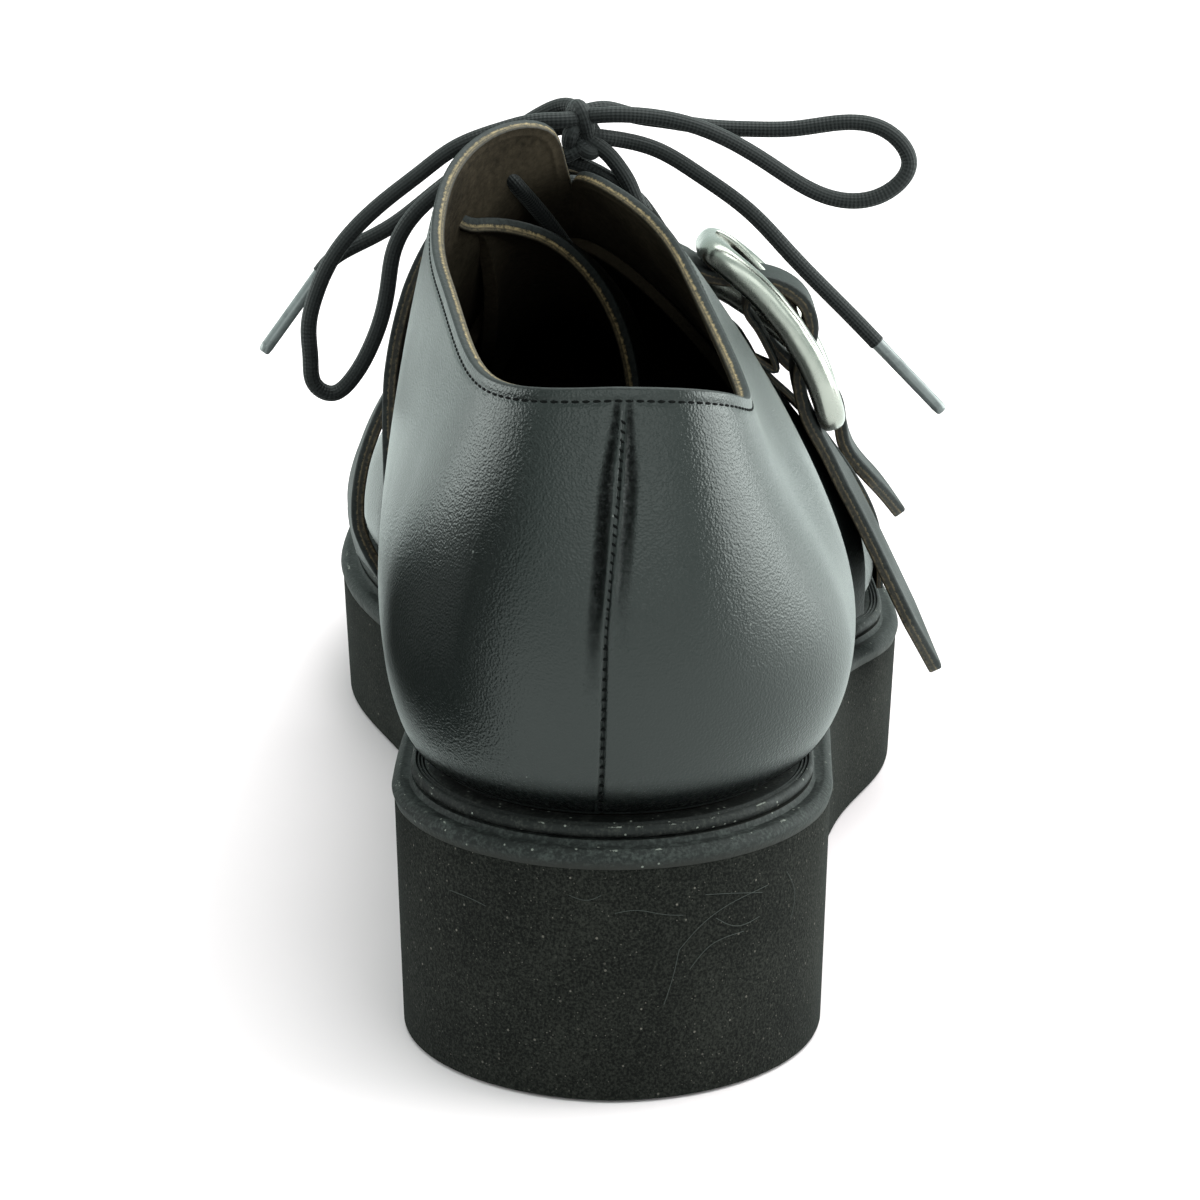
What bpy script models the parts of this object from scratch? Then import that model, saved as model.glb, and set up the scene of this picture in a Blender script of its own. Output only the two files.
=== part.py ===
"""Right shoe of a pair: black leather laced shoe with two buckled straps on a thick foam wedge sole.

Frame: +Y to the toe, +X to the outer (lateral) side, +Z up, origin on the floor at half the sole's length.
Tables and sizes are in millimetres. Lengths along the shoe are measured forward from the back of the heel.
"""

from collections import Counter

import bmesh
import bpy
import numpy as np

MM = 0.001
MERGE = 1e-7
SHARP_ANGLE = 0.7

# Driving sizes
SOLE_LENGTH = 256.0
BALL_WIDTH = 93.0
HEEL_FOAM = 34.9
BALL_FOAM = 19.8
TOE_SPRING = 8.0
COLLAR_BACK = 102.5
MIDSOLE = 3.2
WELT = 1.8
INSOLE = 2.4
WALL = 2.0
QUARTER_STEP = 1.1
TONGUE_THICK = 1.6
STRAP_WIDTH = 18.0
STRAP_THICK = 2.2
CHAPE_THICK = 1.2
LACE = 3.0
AGLET = 2.4
GAP = 0.3

# How far the layers lie inside the edge of the midsole
FOAM_INSET = 0.4
FOAM_TAPER = np.array((1.0, 0.0))
FOAM_EDGE = 0.6
MIDSOLE_EDGE = 0.7
WELT_SET_IN = 2.8
WELT_EDGE = 0.4
UPPER_SET_IN = 5.4
WELT_INNER = 7.4
INSOLE_SET_IN = 8.2

# Outline of the midsole. Stations are parts of the length, widths are parts of the ball width.
OUTLINE_COLUMNS = ("station", "axis", "medial", "lateral")
OUTLINE = (
    (0.00, -0.004, 0.344, 0.344),
    (0.13, -0.004, 0.344, 0.344),
    (0.24, -0.003, 0.336, 0.350),
    (0.36, -0.002, 0.322, 0.364),
    (0.47, 0.000, 0.342, 0.420),
    (0.54, 0.000, 0.374, 0.488),
    (0.61, -0.006, 0.432, 0.512),
    (0.70, -0.020, 0.484, 0.494),
    (0.79, -0.036, 0.460, 0.450),
    (0.90, -0.058, 0.400, 0.392),
    (1.00, -0.072, 0.350, 0.345),
)
HEEL_ROUND = 0.13
TOE_ROUND = 0.79
TOE_POWER = 2.3

# Height of the foam's top over the floor, as parts of the fall from heel to ball, and the spring of the toe.
SEAT_COLUMNS = ("station", "fall", "spring")
SEAT = (
    (0.00, 0.00, 0.0),
    (0.15, 0.04, 0.0),
    (0.33, 0.36, 0.0),
    (0.48, 0.76, 0.0),
    (0.60, 0.97, 0.0),
    (0.70, 1.00, 0.08),
    (0.82, 1.00, 0.36),
    (1.00, 1.00, 1.0),
)
FLAT_END = 0.66

# Ribs of the upper, from its foot on the welt to the collar, the throat or the ridge over the vamp.
# turn: place along the outline, 0 at the heel and 1 at the toe. ahead, across and rise: the rib's top, as a
# part of the length, from the middle, and over the collar's back. foot_out and foot_up: how far the wall
# leans out over its foot. top_out and top_down: how it comes to its top.
RIB_COLUMNS = ("turn", "ahead", "across", "rise", "foot_out", "foot_up", "top_out", "top_down")
LATERAL_RIBS = (
    (0.00, 0.035, 0.0, 0.0, 7.0, 20.0, 8.0, 26.0),
    (0.08, 0.045, 9.5, -1.0, 8.0, 20.0, 8.0, 26.0),
    (0.15, 0.074, 15.6, -4.0, 11.0, 20.0, 7.0, 24.0),
    (0.22, 0.129, 18.0, -7.9, 16.0, 20.0, 6.0, 23.0),
    (0.29, 0.203, 15.8, -6.3, 20.0, 20.0, 6.0, 22.0),
    (0.36, 0.297, 10.8, -1.5, 18.5, 20.0, 9.5, 18.0),
    (0.41, 0.367, 3.0, 4.5, 13.5, 20.0, 12.0, 14.0),
    (0.44, 0.410, -5.2, 6.5, 11.5, 20.0, 13.0, 10.0),
    (0.47, 0.469, -6.5, -1.0, 9.5, 20.0, 14.0, 5.0),
    (0.50, 0.539, -6.7, -12.5, 9.0, 19.0, 16.0, 0.0),
    (0.57, 0.621, -7.0, -25.0, 8.0, 18.0, 18.0, 0.0),
    (0.66, 0.707, -7.0, -35.5, 7.0, 16.0, 18.0, 0.0),
    (0.78, 0.789, -6.8, -43.5, 5.5, 14.0, 14.0, 0.0),
    (0.90, 0.840, -6.7, -48.0, 5.0, 13.0, 13.0, 0.0),
    (1.00, 0.863, -6.7, -50.2, 5.0, 13.0, 13.0, 0.0),
)
MEDIAL_RIBS = (
    (0.00, 0.035, 0.0, 0.0, 7.0, 20.0, 8.0, 26.0),
    (0.08, 0.043, -10.0, -0.7, 7.5, 20.0, 8.0, 26.0),
    (0.15, 0.068, -16.5, -1.2, 9.0, 20.0, 8.0, 26.0),
    (0.22, 0.121, -20.5, -0.2, 11.0, 20.0, 8.0, 26.0),
    (0.29, 0.211, -24.0, 2.5, 13.5, 20.0, 7.5, 28.0),
    (0.36, 0.313, -26.0, 7.5, 13.0, 20.0, 6.5, 28.0),
    (0.40, 0.371, -20.8, 14.2, 15.0, 20.0, 9.0, 20.0),
    (0.42, 0.395, -13.5, 15.6, 17.5, 20.0, 13.0, 12.0),
    (0.432, 0.409, -9.0, 13.0, 17.5, 20.0, 14.5, 6.5),
    (0.44, 0.420, -7.8, 8.8, 17.5, 20.0, 16.0, 3.0),
    (0.47, 0.469, -7.8, -0.8, 16.5, 20.0, 17.0, 0.0),
    (0.50, 0.539, -7.8, -12.5, 14.0, 19.0, 17.0, 0.0),
    (0.57, 0.621, -7.0, -25.0, 10.0, 18.0, 18.0, 0.0),
    (0.66, 0.707, -7.0, -35.5, 7.0, 16.0, 18.0, 0.0),
    (0.78, 0.789, -6.8, -43.5, 5.5, 14.0, 14.0, 0.0),
    (0.90, 0.840, -6.7, -48.0, 5.0, 13.0, 13.0, 0.0),
    (1.00, 0.863, -6.7, -50.2, 5.0, 13.0, 13.0, 0.0),
)
QUARTER_FRONT = 0.50
RIDGE_BLEND = 0.03
PEAK = (0.36, 0.46)
BACK_RIBS = 13
PEAK_RIBS = 9
FACING_RIBS = 3
VAMP_RIBS = 20
RIB_STEPS = 10
SOLE_STEPS = 36

# Sections of the tongue: place, height and place of its crown, its reach and its drop to each side, and how far
# the lateral edge lies ahead of the crown.
TONGUE_COLUMNS = ("ahead", "crown", "crown_across", "medial", "lateral", "inner_drop", "outer_drop", "skew")
TONGUE = (
    (99.0, 103.9, -20.6, 2.4, 24.6, -1.5, 34.6, 11.0),
    (112.0, 98.6, -16.0, 4.8, 22.0, 8.5, 31.0, 7.0),
    (128.0, 89.4, -12.0, 9.6, 18.0, 16.0, 24.0, 3.0),
    (146.0, 79.0, -9.5, 12.0, 14.0, 15.0, 15.0, 1.0),
    (164.0, 72.0, -7.5, 11.0, 12.0, 6.0, 6.0, 0.0),
)
TONGUE_INNER_SKEW = 0.7
TONGUE_BEND = 1.45
TONGUE_ROWS = 9
TONGUE_ACROSS = 12

# Straps: rows that follow the upper from the inner welt over the instep (side, place up the rib, clearance at
# the rear and at the front edge), then the weave through the buckle (along and off its frame), then the free
# tail (across, height, width).
REAR_TURN = 0.472
REAR_RUN = (
    (-1, 0.06, 0.5, 0.5),
    (-1, 0.20, 0.6, 0.6),
    (-1, 0.34, 1.7, 1.0),
    (-1, 0.48, 4.5, 2.2),
    (-1, 0.62, 6.8, 3.8),
    (-1, 0.78, 7.3, 4.6),
    (-1, 0.96, 4.4, 4.0),
    (1, 0.96, 3.9, 3.9),
    (1, 0.86, 3.9, 4.0),
)
REAR_TAIL = ((37.2, 53.4, 1.0), (43.5, 39.9, 1.0), (47.4, 31.6, 0.97), (50.8, 23.8, 0.12))
TAIL_FLARE = 0.05
FRONT_TURN = 0.552
FRONT_RUN = (
    (-1, 0.07, 1.2, 0.5),
    (-1, 0.20, 4.4, 1.0),
    (-1, 0.34, 5.0, 1.2),
    (-1, 0.55, 3.8, 1.6),
    (-1, 0.78, 2.4, 1.8),
    (-1, 0.96, 2.6, 2.4),
)
FRONT_TAIL = ((38.6, 50.8, 1.0), (43.7, 44.4, 0.96), (47.6, 39.1, 0.12))
WEAVE = (
    (-19.5, -3.6),
    (-14.8, -3.7),
    (-11.6, -2.2),
    (-6.8, 2.2),
    (0.0, 5.1),
    (6.8, 2.2),
    (11.6, -2.2),
    (14.8, -3.3),
    (19.5, -1.9),
    (23.0, -0.3),
)
STRAP_AIM = 0.05
HOLE_SPAN = 3
SPAN_ROWS = 2
STRAP_COLUMNS = 5

# Buckles: a frame bent on an arc over the outer side, given by the arc's centre, radius and middle angle. Each
# hangs on a chape, a short strap whose rows follow the upper from the outer welt and then go round the bar.
BUCKLE_COLUMNS = ("across", "height", "radius", "middle_deg", "ahead", "fall")
REAR_BUCKLE = (-9.2, 55.0, 44.0, 35.0, 127.0, 0.14)
FRONT_BUCKLE = (-14.4, 22.4, 63.2, 58.0, 160.0, 0.22)
BUCKLE_LENGTH = 38.0
BUCKLE_WIDTH = 29.0
BUCKLE_INNER = (27.0, 19.6)
BUCKLE_THICK = 3.4
BUCKLE_SQUARE = 5.0
BUCKLE_STEPS = 36
BUCKLE_SECTION = ((0.0, 0.0), (0.2, 0.8), (0.5, 1.0), (0.8, 0.8), (1.0, 0.0), (0.8, -0.8), (0.2, -0.8))
BAR = 3.0
BAR_SIDES = 10
PRONG = 1.9
PRONG_ROUTE = ((-1.6, 4.6), (-2.6, 6.2), (-4.8, 7.2), (-8.0, 6.4), (-12.5, 4.6), (-17.4, 3.1))
REAR_CHAPE = (
    (1, 0.06, 0.4, 0.4),
    (1, 0.20, 0.5, 0.5),
    (1, 0.34, 0.4, 0.4),
    (1, 0.44, 0.4, 0.2),
    (1, 0.56, 0.9, 0.2),
)
FRONT_CHAPE = (
    (1, 0.06, -0.2, -0.2),
    (1, 0.20, -0.1, -0.1),
    (1, 0.36, -0.2, -0.2),
    (1, 0.50, -0.2, -0.2),
    (1, 0.58, 0.3, 0.3),
)
CHAPE_ROUTE = (
    (8.0, -5.1),
    (3.0, -3.2),
    (0.0, -2.55),
    (-1.8, -1.8),
    (-2.55, 0.0),
    (-1.8, 1.8),
    (0.0, 2.55),
    (1.9, 2.0),
)
CHAPE_WIDTH = 12.0
CHAPE_COLUMNS = 2

# Lace: bars over the throat at turns of the upper, then the knot and the routes from it, each point as
# (across, ahead, height).
LACE_BARS = (0.470, 0.488)
BAR_UPS = (0.84, 0.93, 1.0)
KNOT = (-5.1, 112.4, 115.2)
KNOT_SIZE = (2.7, 3.7, 5.0)
KNOT_POLE = 1.42
KNOT_LUMP = 0.06
KNOT_WRAPS = 3
KNOT_TWIST = 2
KNOT_COLUMNS = 16
KNOT_ROWS = 9
RISE_LATERAL = ((-3.2, 110.2, 110.6), (-0.6, 109.9, 110.6), (1.7, 109.8, 108.4), (2.8, 109.8, 105.6))
RISE_MEDIAL = ((-7.4, 111.6, 110.8), (-9.6, 112.0, 110.6), (-12.6, 112.0, 108.9))
LOOP_LATERAL = (
    (-2.1, 114.2, 117.4),
    (2.4, 116.0, 116.0),
    (7.6, 117.0, 114.9),
    (14.0, 118.0, 113.7),
    (21.0, 118.5, 113.2),
    (28.0, 118.5, 113.3),
    (36.0, 118.0, 114.4),
    (42.5, 117.0, 113.0),
    (45.6, 115.5, 108.4),
    (42.0, 114.5, 104.0),
    (34.0, 114.0, 103.2),
    (24.0, 113.0, 108.8),
    (12.6, 111.4, 115.2),
    (5.0, 110.8, 117.0),
    (-2.1, 110.7, 117.2),
)
LOOP_MEDIAL = (
    (-8.1, 110.8, 116.4),
    (-12.0, 110.8, 116.0),
    (-18.5, 110.5, 113.4),
    (-27.9, 110.5, 107.4),
    (-37.0, 110.0, 99.2),
    (-44.0, 110.0, 90.0),
    (-48.4, 110.0, 79.6),
    (-47.2, 110.5, 72.6),
    (-43.6, 111.5, 72.4),
    (-39.0, 113.0, 79.0),
    (-35.8, 114.0, 87.6),
    (-32.6, 114.5, 96.6),
    (-26.6, 114.8, 104.4),
    (-18.5, 114.8, 110.6),
    (-12.0, 114.4, 113.8),
    (-8.2, 114.2, 114.5),
)
END_LATERAL = (
    (-2.2, 113.0, 113.2),
    (1.0, 114.0, 112.5),
    (6.1, 114.0, 111.1),
    (12.7, 114.0, 107.2),
    (21.0, 114.0, 101.0),
    (27.0, 114.0, 94.6),
    (37.3, 114.0, 83.9),
    (41.0, 114.0, 80.0),
)
END_MEDIAL = (
    (-7.3, 116.2, 117.6),
    (-12.0, 118.0, 116.4),
    (-20.0, 118.6, 112.0),
    (-31.3, 118.6, 103.4),
    (-43.0, 117.5, 92.2),
    (-45.8, 117.0, 89.6),
)
AGLET_LENGTH = 15.2
AGLET_RADII = (1.0, 1.0, 0.95, 0.7)
CORD_PITCH = 2.2


def smooth(knots, values, at):
    """Natural cubic spline through values at knots, read at any places."""
    knots = np.asarray(knots, float)
    values = np.asarray(values, float)
    step = np.diff(knots)
    slope = np.diff(values) / step
    size = len(knots)
    system = np.eye(size)
    right = np.zeros(size)
    for i in range(1, size - 1):
        system[i, i - 1 : i + 2] = step[i - 1], 2 * (step[i - 1] + step[i]), step[i]
        right[i] = 6 * (slope[i] - slope[i - 1])
    bend = np.linalg.solve(system, right)
    i = np.clip(np.searchsorted(knots, at) - 1, 0, size - 2)
    u = at - knots[i]
    rise = slope[i] - step[i] * (2 * bend[i] + bend[i + 1]) / 6
    return values[i] + u * (rise + u * (bend[i] / 2 + u * (bend[i + 1] - bend[i]) / (6 * step[i])))


def column(table, names, name, at):
    """One column of a table, smooth between its rows; the first column holds the places."""
    rows = np.array(table)
    return smooth(rows[:, 0], rows[:, names.index(name)], np.asarray(at, float))


def unit(vectors):
    return vectors / np.linalg.norm(vectors, axis=-1, keepdims=True)


def foam_top(ahead):
    """Height of the foam's upper face, falling from heel to ball and rising again to the toe."""
    station = np.clip(np.asarray(ahead, float) / SOLE_LENGTH, 0, 1)
    fall = column(SEAT, SEAT_COLUMNS, "fall", station)
    spring = column(SEAT, SEAT_COLUMNS, "spring", station)
    return HEEL_FOAM - (HEEL_FOAM - BALL_FOAM) * fall + TOE_SPRING * spring


def foam_bottom(ahead):
    """Height of the tread: flat from the heel to the ball, then a rising arc to the toe."""
    past = np.clip(np.asarray(ahead, float) / SOLE_LENGTH - FLAT_END, 0, None) / (1 - FLAT_END)
    return TOE_SPRING * past**2


def midsole_bottom(ahead):
    return foam_top(ahead) + GAP


def seat(ahead):
    """Height of the midsole's upper face."""
    return midsole_bottom(ahead) + MIDSOLE


def welt_bottom(ahead):
    return seat(ahead) + GAP


def welt_top(ahead):
    return welt_bottom(ahead) + WELT


def upper_foot(ahead):
    return welt_top(ahead) + GAP


def outline(side, turn):
    """Point of the midsole's edge on one side (-1 medial, +1 lateral), at a turn from heel (0) to toe (1)."""
    station = (1 - np.cos(np.pi * np.asarray(turn, float))) / 2
    half = column(OUTLINE, OUTLINE_COLUMNS, "lateral" if side > 0 else "medial", station)
    heel = np.sqrt(1 - np.clip(1 - station / HEEL_ROUND, 0, 1) ** 2)
    past = np.clip((station - TOE_ROUND) / (1 - TOE_ROUND), 0, 1)
    toe = (1 - past**TOE_POWER) ** (1 / TOE_POWER)
    axis = column(OUTLINE, OUTLINE_COLUMNS, "axis", station)
    across = BALL_WIDTH * (axis + side * half * heel * toe)
    return np.stack([across, station * SOLE_LENGTH], -1)


def edge_normal(side, turn):
    """Outward direction of the outline in plan."""
    turn = np.asarray(turn, float)
    small = 1e-4
    along = outline(side, np.clip(turn + small, 0, 1)) - outline(side, np.clip(turn - small, 0, 1))
    normal = np.stack([along[..., 1], -along[..., 0]], -1) * side
    normal = np.where((turn <= 0)[..., None], [0.0, -1.0], normal)
    normal = np.where((turn >= 1)[..., None], [0.0, 1.0], normal)
    return unit(normal)


def edge(side, turn, set_in):
    """The outline moved inward by set_in."""
    return outline(side, turn) - set_in * edge_normal(side, turn)


def loop(set_in, height):
    """Closed loop round the sole, lateral side first, with heights that depend on the length."""
    turn = np.linspace(0, 1, SOLE_STEPS + 1)
    plan = np.concatenate([edge(1, turn, set_in), edge(-1, turn[-2:0:-1], set_in)])
    return np.column_stack([plan, height(plan[:, 1])])


def rib(side, turn, up):
    """Points of the upper's outer face: a cubic curve in each rib, from its foot (up 0) to its top (up 1)."""
    table = LATERAL_RIBS if side > 0 else MEDIAL_RIBS
    turn, up = np.broadcast_arrays(np.asarray(turn, float), np.asarray(up, float))
    read = {name: column(table, RIB_COLUMNS, name, turn) for name in RIB_COLUMNS[1:]}
    plan = edge(side, turn, UPPER_SET_IN)
    normal = edge_normal(side, turn)
    small = 1e-3
    fall, run = [
        column(table, RIB_COLUMNS, name, turn + small) - column(table, RIB_COLUMNS, name, turn - small)
        for name in ("rise", "ahead")
    ]
    on_ridge = np.clip((turn - QUARTER_FRONT) / RIDGE_BLEND, 0, 1)
    ridge = on_ridge * fall / (run * SOLE_LENGTH)
    foot = np.stack([plan[..., 0], plan[..., 1], upper_foot(plan[..., 1])], -1)
    top = np.stack([read["across"], read["ahead"] * SOLE_LENGTH, COLLAR_BACK + read["rise"]], -1)
    outward = np.stack([normal[..., 0], normal[..., 1], np.zeros_like(turn)], -1)
    ridge_out = np.stack([normal[..., 0], normal[..., 1], normal[..., 1] * ridge], -1)
    upward = np.array([0.0, 0.0, 1.0])
    lower = foot + outward * read["foot_out"][..., None] + upward * read["foot_up"][..., None]
    upper = top + ridge_out * read["top_out"][..., None] - upward * read["top_down"][..., None]
    u = up[..., None]
    return (1 - u) ** 3 * foot + 3 * u * (1 - u) ** 2 * lower + 3 * u**2 * (1 - u) * upper + u**3 * top


def rib_normal(side, turn, up):
    """Outward direction of the upper's face, from two small steps on it."""
    small = 2e-3
    turn = np.clip(np.asarray(turn, float), small, 1 - small)
    up = np.clip(np.asarray(up, float), small, 1 - small)
    along = rib(side, turn + small, up) - rib(side, turn - small, up)
    rise = rib(side, turn, up + small) - rib(side, turn, up - small)
    return unit(np.cross(along, rise) * side)


def buckle_place(buckle, along, off, aside):
    """Point at a length along a buckle's arc, a height off it and a distance ahead of its middle."""
    size = dict(zip(BUCKLE_COLUMNS, buckle))
    angle = np.radians(size["middle_deg"]) - np.asarray(along, float) / size["radius"]
    reach = size["radius"] + off
    across = size["across"] + reach * np.cos(angle)
    height = size["height"] + reach * np.sin(angle) - size["fall"] * aside
    return np.stack(np.broadcast_arrays(across, size["ahead"] + aside, height), -1)


def through(points, pitch):
    """Points at an even pitch on a smooth curve through a route's own points."""
    points = np.asarray(points, float)
    knots = np.concatenate([[0], np.cumsum(np.linalg.norm(np.diff(points, axis=0), axis=1))])
    at = np.linspace(0, knots[-1], max(2, round(knots[-1] / pitch) + 1))
    return np.stack([smooth(knots, points[:, i], at) for i in range(3)], -1)


def between(points, count):
    """A smooth curve through points, with count steps in each span."""
    points = np.asarray(points, float)
    knots = np.concatenate([[0], np.cumsum(np.linalg.norm(np.diff(points, axis=0), axis=1))])
    at = np.interp(np.arange((len(knots) - 1) * count + 1) / count, np.arange(len(knots)), knots)
    return np.stack([smooth(knots, points[:, i], at) for i in range(points.shape[1])], -1)


def material(name, colour, roughness, metallic=0.0):
    made = bpy.data.materials.new(name)
    made.use_nodes = True
    shader = made.node_tree.nodes["Principled BSDF"]
    shader.inputs["Base Color"].default_value = (*colour, 1)
    shader.inputs["Roughness"].default_value = roughness
    shader.inputs["Metallic"].default_value = metallic
    return made


def shown(name, data, look):
    """A named object in the scene with its material."""
    data.materials.append(look)
    made = bpy.data.objects.new(name, data)
    bpy.context.scene.collection.objects.link(made)
    return made


def piece(name, points, faces, look):
    """A mesh object from points in millimetres, with shared points merged and its faces turned out."""
    mesh = bpy.data.meshes.new(name)
    mesh.from_pydata((np.asarray(points, float) * MM).tolist(), [], faces)
    made = bmesh.new()
    made.from_mesh(mesh)
    bmesh.ops.remove_doubles(made, verts=made.verts, dist=MERGE)
    bmesh.ops.recalc_face_normals(made, faces=made.faces)
    made.to_mesh(mesh)
    made.free()
    mesh.shade_smooth()
    mesh.set_sharp_from_angle(angle=SHARP_ANGLE)
    return shown(name, mesh, look)


def strips(rows, width, closed):
    """Quads between neighbouring rows of equal width; closed rows run round."""
    last = width if closed else width - 1
    return [
        (r * width + i, r * width + (i + 1) % width, (r + 1) * width + (i + 1) % width, (r + 1) * width + i)
        for r in range(rows - 1)
        for i in range(last)
    ]


def slab(name, outer, inner, look, hole=None):
    """A closed sheet between two grids of points; hole names one quad that is left open right through."""
    rows, width = outer.shape[:2]
    quads = [face for i, face in enumerate(strips(rows, width, False)) if i != hole]
    size = rows * width
    sides = Counter()
    for face in quads:
        sides.update(tuple(sorted(pair)) for pair in zip(face, face[1:] + face[:1]))
    faces = quads + [tuple(i + size for i in face) for face in quads]
    faces += [(a, b, b + size, a + size) for (a, b), count in sides.items() if count == 1]
    return piece(name, np.concatenate([outer.reshape(-1, 3), inner.reshape(-1, 3)]), faces, look)


def plate(name, loops, look):
    """A slab from loops stacked from its lower to its upper face, closed by bands across the width."""
    width = len(loops[0])
    faces = strips(len(loops), width, True)
    for start in (0, (len(loops) - 1) * width):
        faces.append((start, start + 1, start + width - 1))
        faces.append((start + SOLE_STEPS, start + SOLE_STEPS - 1, start + SOLE_STEPS + 1))
        for i in range(1, SOLE_STEPS - 1):
            faces.append((start + i, start + i + 1, start + width - i - 1, start + width - i))
    return piece(name, np.concatenate(loops), faces, look)


def sole(foam, rand, lining):
    """Foam wedge, midsole, welt ring and insole, stacked with small gaps."""
    plate(
        "outsole",
        [
            loop(FOAM_INSET + FOAM_TAPER + FOAM_EDGE, foam_bottom),
            loop(FOAM_INSET + FOAM_TAPER, lambda y: foam_bottom(y) + FOAM_EDGE),
            loop(FOAM_INSET, foam_top),
        ],
        foam,
    )
    plate(
        "midsole",
        [
            loop(MIDSOLE_EDGE, midsole_bottom),
            loop(0.0, lambda y: midsole_bottom(y) + MIDSOLE_EDGE),
            loop(0.0, lambda y: seat(y) - MIDSOLE_EDGE),
            loop(MIDSOLE_EDGE, seat),
        ],
        rand,
    )
    ring = [
        loop(WELT_INNER, welt_bottom),
        loop(WELT_SET_IN + WELT_EDGE, welt_bottom),
        loop(WELT_SET_IN, lambda y: welt_bottom(y) + WELT / 2),
        loop(WELT_SET_IN + WELT_EDGE, welt_top),
        loop(WELT_INNER, welt_top),
        loop(WELT_INNER, welt_bottom),
    ]
    piece("welt", np.concatenate(ring), strips(len(ring), len(ring[0]), True), rand)
    plate(
        "insole",
        [
            loop(INSOLE_SET_IN, welt_bottom),
            loop(INSOLE_SET_IN, lambda y: welt_bottom(y) + INSOLE),
        ],
        lining,
    )


def upper(leather):
    """Hollow upper: quarters lapped over the vamp by a step, open at collar, throat and foot."""
    back = np.concatenate(
        [
            np.linspace(0, PEAK[0], BACK_RIBS, endpoint=False),
            np.linspace(*PEAK, PEAK_RIBS, endpoint=False),
            np.linspace(PEAK[1], QUARTER_FRONT, FACING_RIBS),
        ]
    )
    front = np.linspace(QUARTER_FRONT, 1, VAMP_RIBS + 1)
    turn = np.concatenate([back, front])[:, None]
    lift = np.concatenate([np.full(len(back), QUARTER_STEP), np.zeros(len(front))])[:, None, None]
    up = np.linspace(0, 1, RIB_STEPS + 1)[None, :]
    grids = []
    for side in (1, -1):
        grid = rib(side, turn, up) + lift * rib_normal(side, turn, up)
        grid[0, :, 0] = 0
        grid[:, 0, 2] = upper_foot(grid[:, 0, 1])
        grids.append(grid)
    lateral, medial = grids
    medial[0] = lateral[0]
    medial[-1] = lateral[-1]
    medial[len(back) :, -1] = lateral[len(back) :, -1]
    quads = strips(len(turn), RIB_STEPS + 1, False)
    start = lateral.size // 3
    faces = quads + [tuple(start + i for i in face) for face in quads]
    made = piece("upper", np.concatenate([lateral.reshape(-1, 3), medial.reshape(-1, 3)]), faces, leather)
    wall = made.modifiers.new("wall", "SOLIDIFY")
    wall.thickness = WALL * MM
    wall.offset = -1
    wall.use_even_offset = True


def tongue(leather):
    """Arched flap under the throat, its back edge free inside the collar."""
    ahead = np.linspace(TONGUE[0][0], TONGUE[-1][0], TONGUE_ROWS)[:, None]
    read = {name: column(TONGUE, TONGUE_COLUMNS, name, ahead) for name in TONGUE_COLUMNS[1:]}
    angle = np.linspace(-TONGUE_BEND, TONGUE_BEND, TONGUE_ACROSS + 1)[None, :]
    reach = np.where(angle > 0, read["lateral"], read["medial"])
    drop = np.where(angle > 0, read["outer_drop"], read["inner_drop"])
    skew = read["skew"] * np.where(angle > 0, 1.0, TONGUE_INNER_SKEW)
    faces = []
    for under in (0.0, TONGUE_THICK):
        across = read["crown_across"] + (reach - under) * np.sin(angle)
        height = read["crown"] - under - drop * (1 - np.cos(angle))
        faces.append(np.stack([across, ahead + skew * np.sin(angle), height], -1))
    slab("tongue", faces[0], faces[1], leather)


def held_rows(turn, run, width, thick):
    """Rows of a band that follows the upper: its middle, the direction to its front edge, and full width."""
    rows = []
    for side, up, rear_lift, front_lift in run:
        rear, front = [
            rib(side, at, up) + (QUARTER_STEP + lift + thick / 2) * rib_normal(side, at, up)
            for at, lift in ((turn, rear_lift), (turn + STRAP_AIM, front_lift))
        ]
        forward = unit(front - rear)
        rows.append((*(rear + forward * width / 2), *forward, 1.0))
    return rows


def woven_rows(buckle, route):
    """Rows of a band on its route through a buckle."""
    rows = []
    for along, off in route:
        ends = buckle_place(buckle, along, off, np.array([-1.0, 1.0]))
        rows.append((*ends.mean(axis=0), *unit(ends[1] - ends[0]), 1.0))
    return rows


def band(name, rows, width, thick, columns, leather, hole=None):
    """A flat leather band on a smooth line through its rows."""
    line = between([row[:3] for row in rows], SPAN_ROWS)
    index = np.arange(len(line)) / SPAN_ROWS
    spans = np.arange(len(rows))
    forward = unit(np.stack([np.interp(index, spans, [row[i] for row in rows]) for i in (3, 4, 5)], -1))
    share = np.interp(index, spans, [row[6] for row in rows])
    off = unit(np.cross(forward, np.gradient(line, axis=0)))
    aside = np.linspace(-width / 2, width / 2, columns + 1)
    sheet = line[:, None] + share[:, None, None] * aside[None, :, None] * forward[:, None]
    lift = off[:, None] * thick / 2
    slab(name, sheet + lift, sheet - lift, leather, hole)


def strap(name, turn, run, buckle, tail, leather):
    """A strap: over the upper from the inner welt, woven through the buckle, with a pointed tail."""
    rows = held_rows(turn, run, STRAP_WIDTH, STRAP_THICK) + woven_rows(buckle, WEAVE)
    forward = unit(np.array(rows[-1][3:6]) + [TAIL_FLARE, 0, 0])
    middle = rows[-1][1]
    for across, height, share in tail:
        rows.append((across, middle, height, *forward, share))
    hole_row = (len(run) + HOLE_SPAN) * SPAN_ROWS + 1
    hole = hole_row * STRAP_COLUMNS + STRAP_COLUMNS // 2
    band(name, rows, STRAP_WIDTH, STRAP_THICK, STRAP_COLUMNS, leather, hole)


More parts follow.
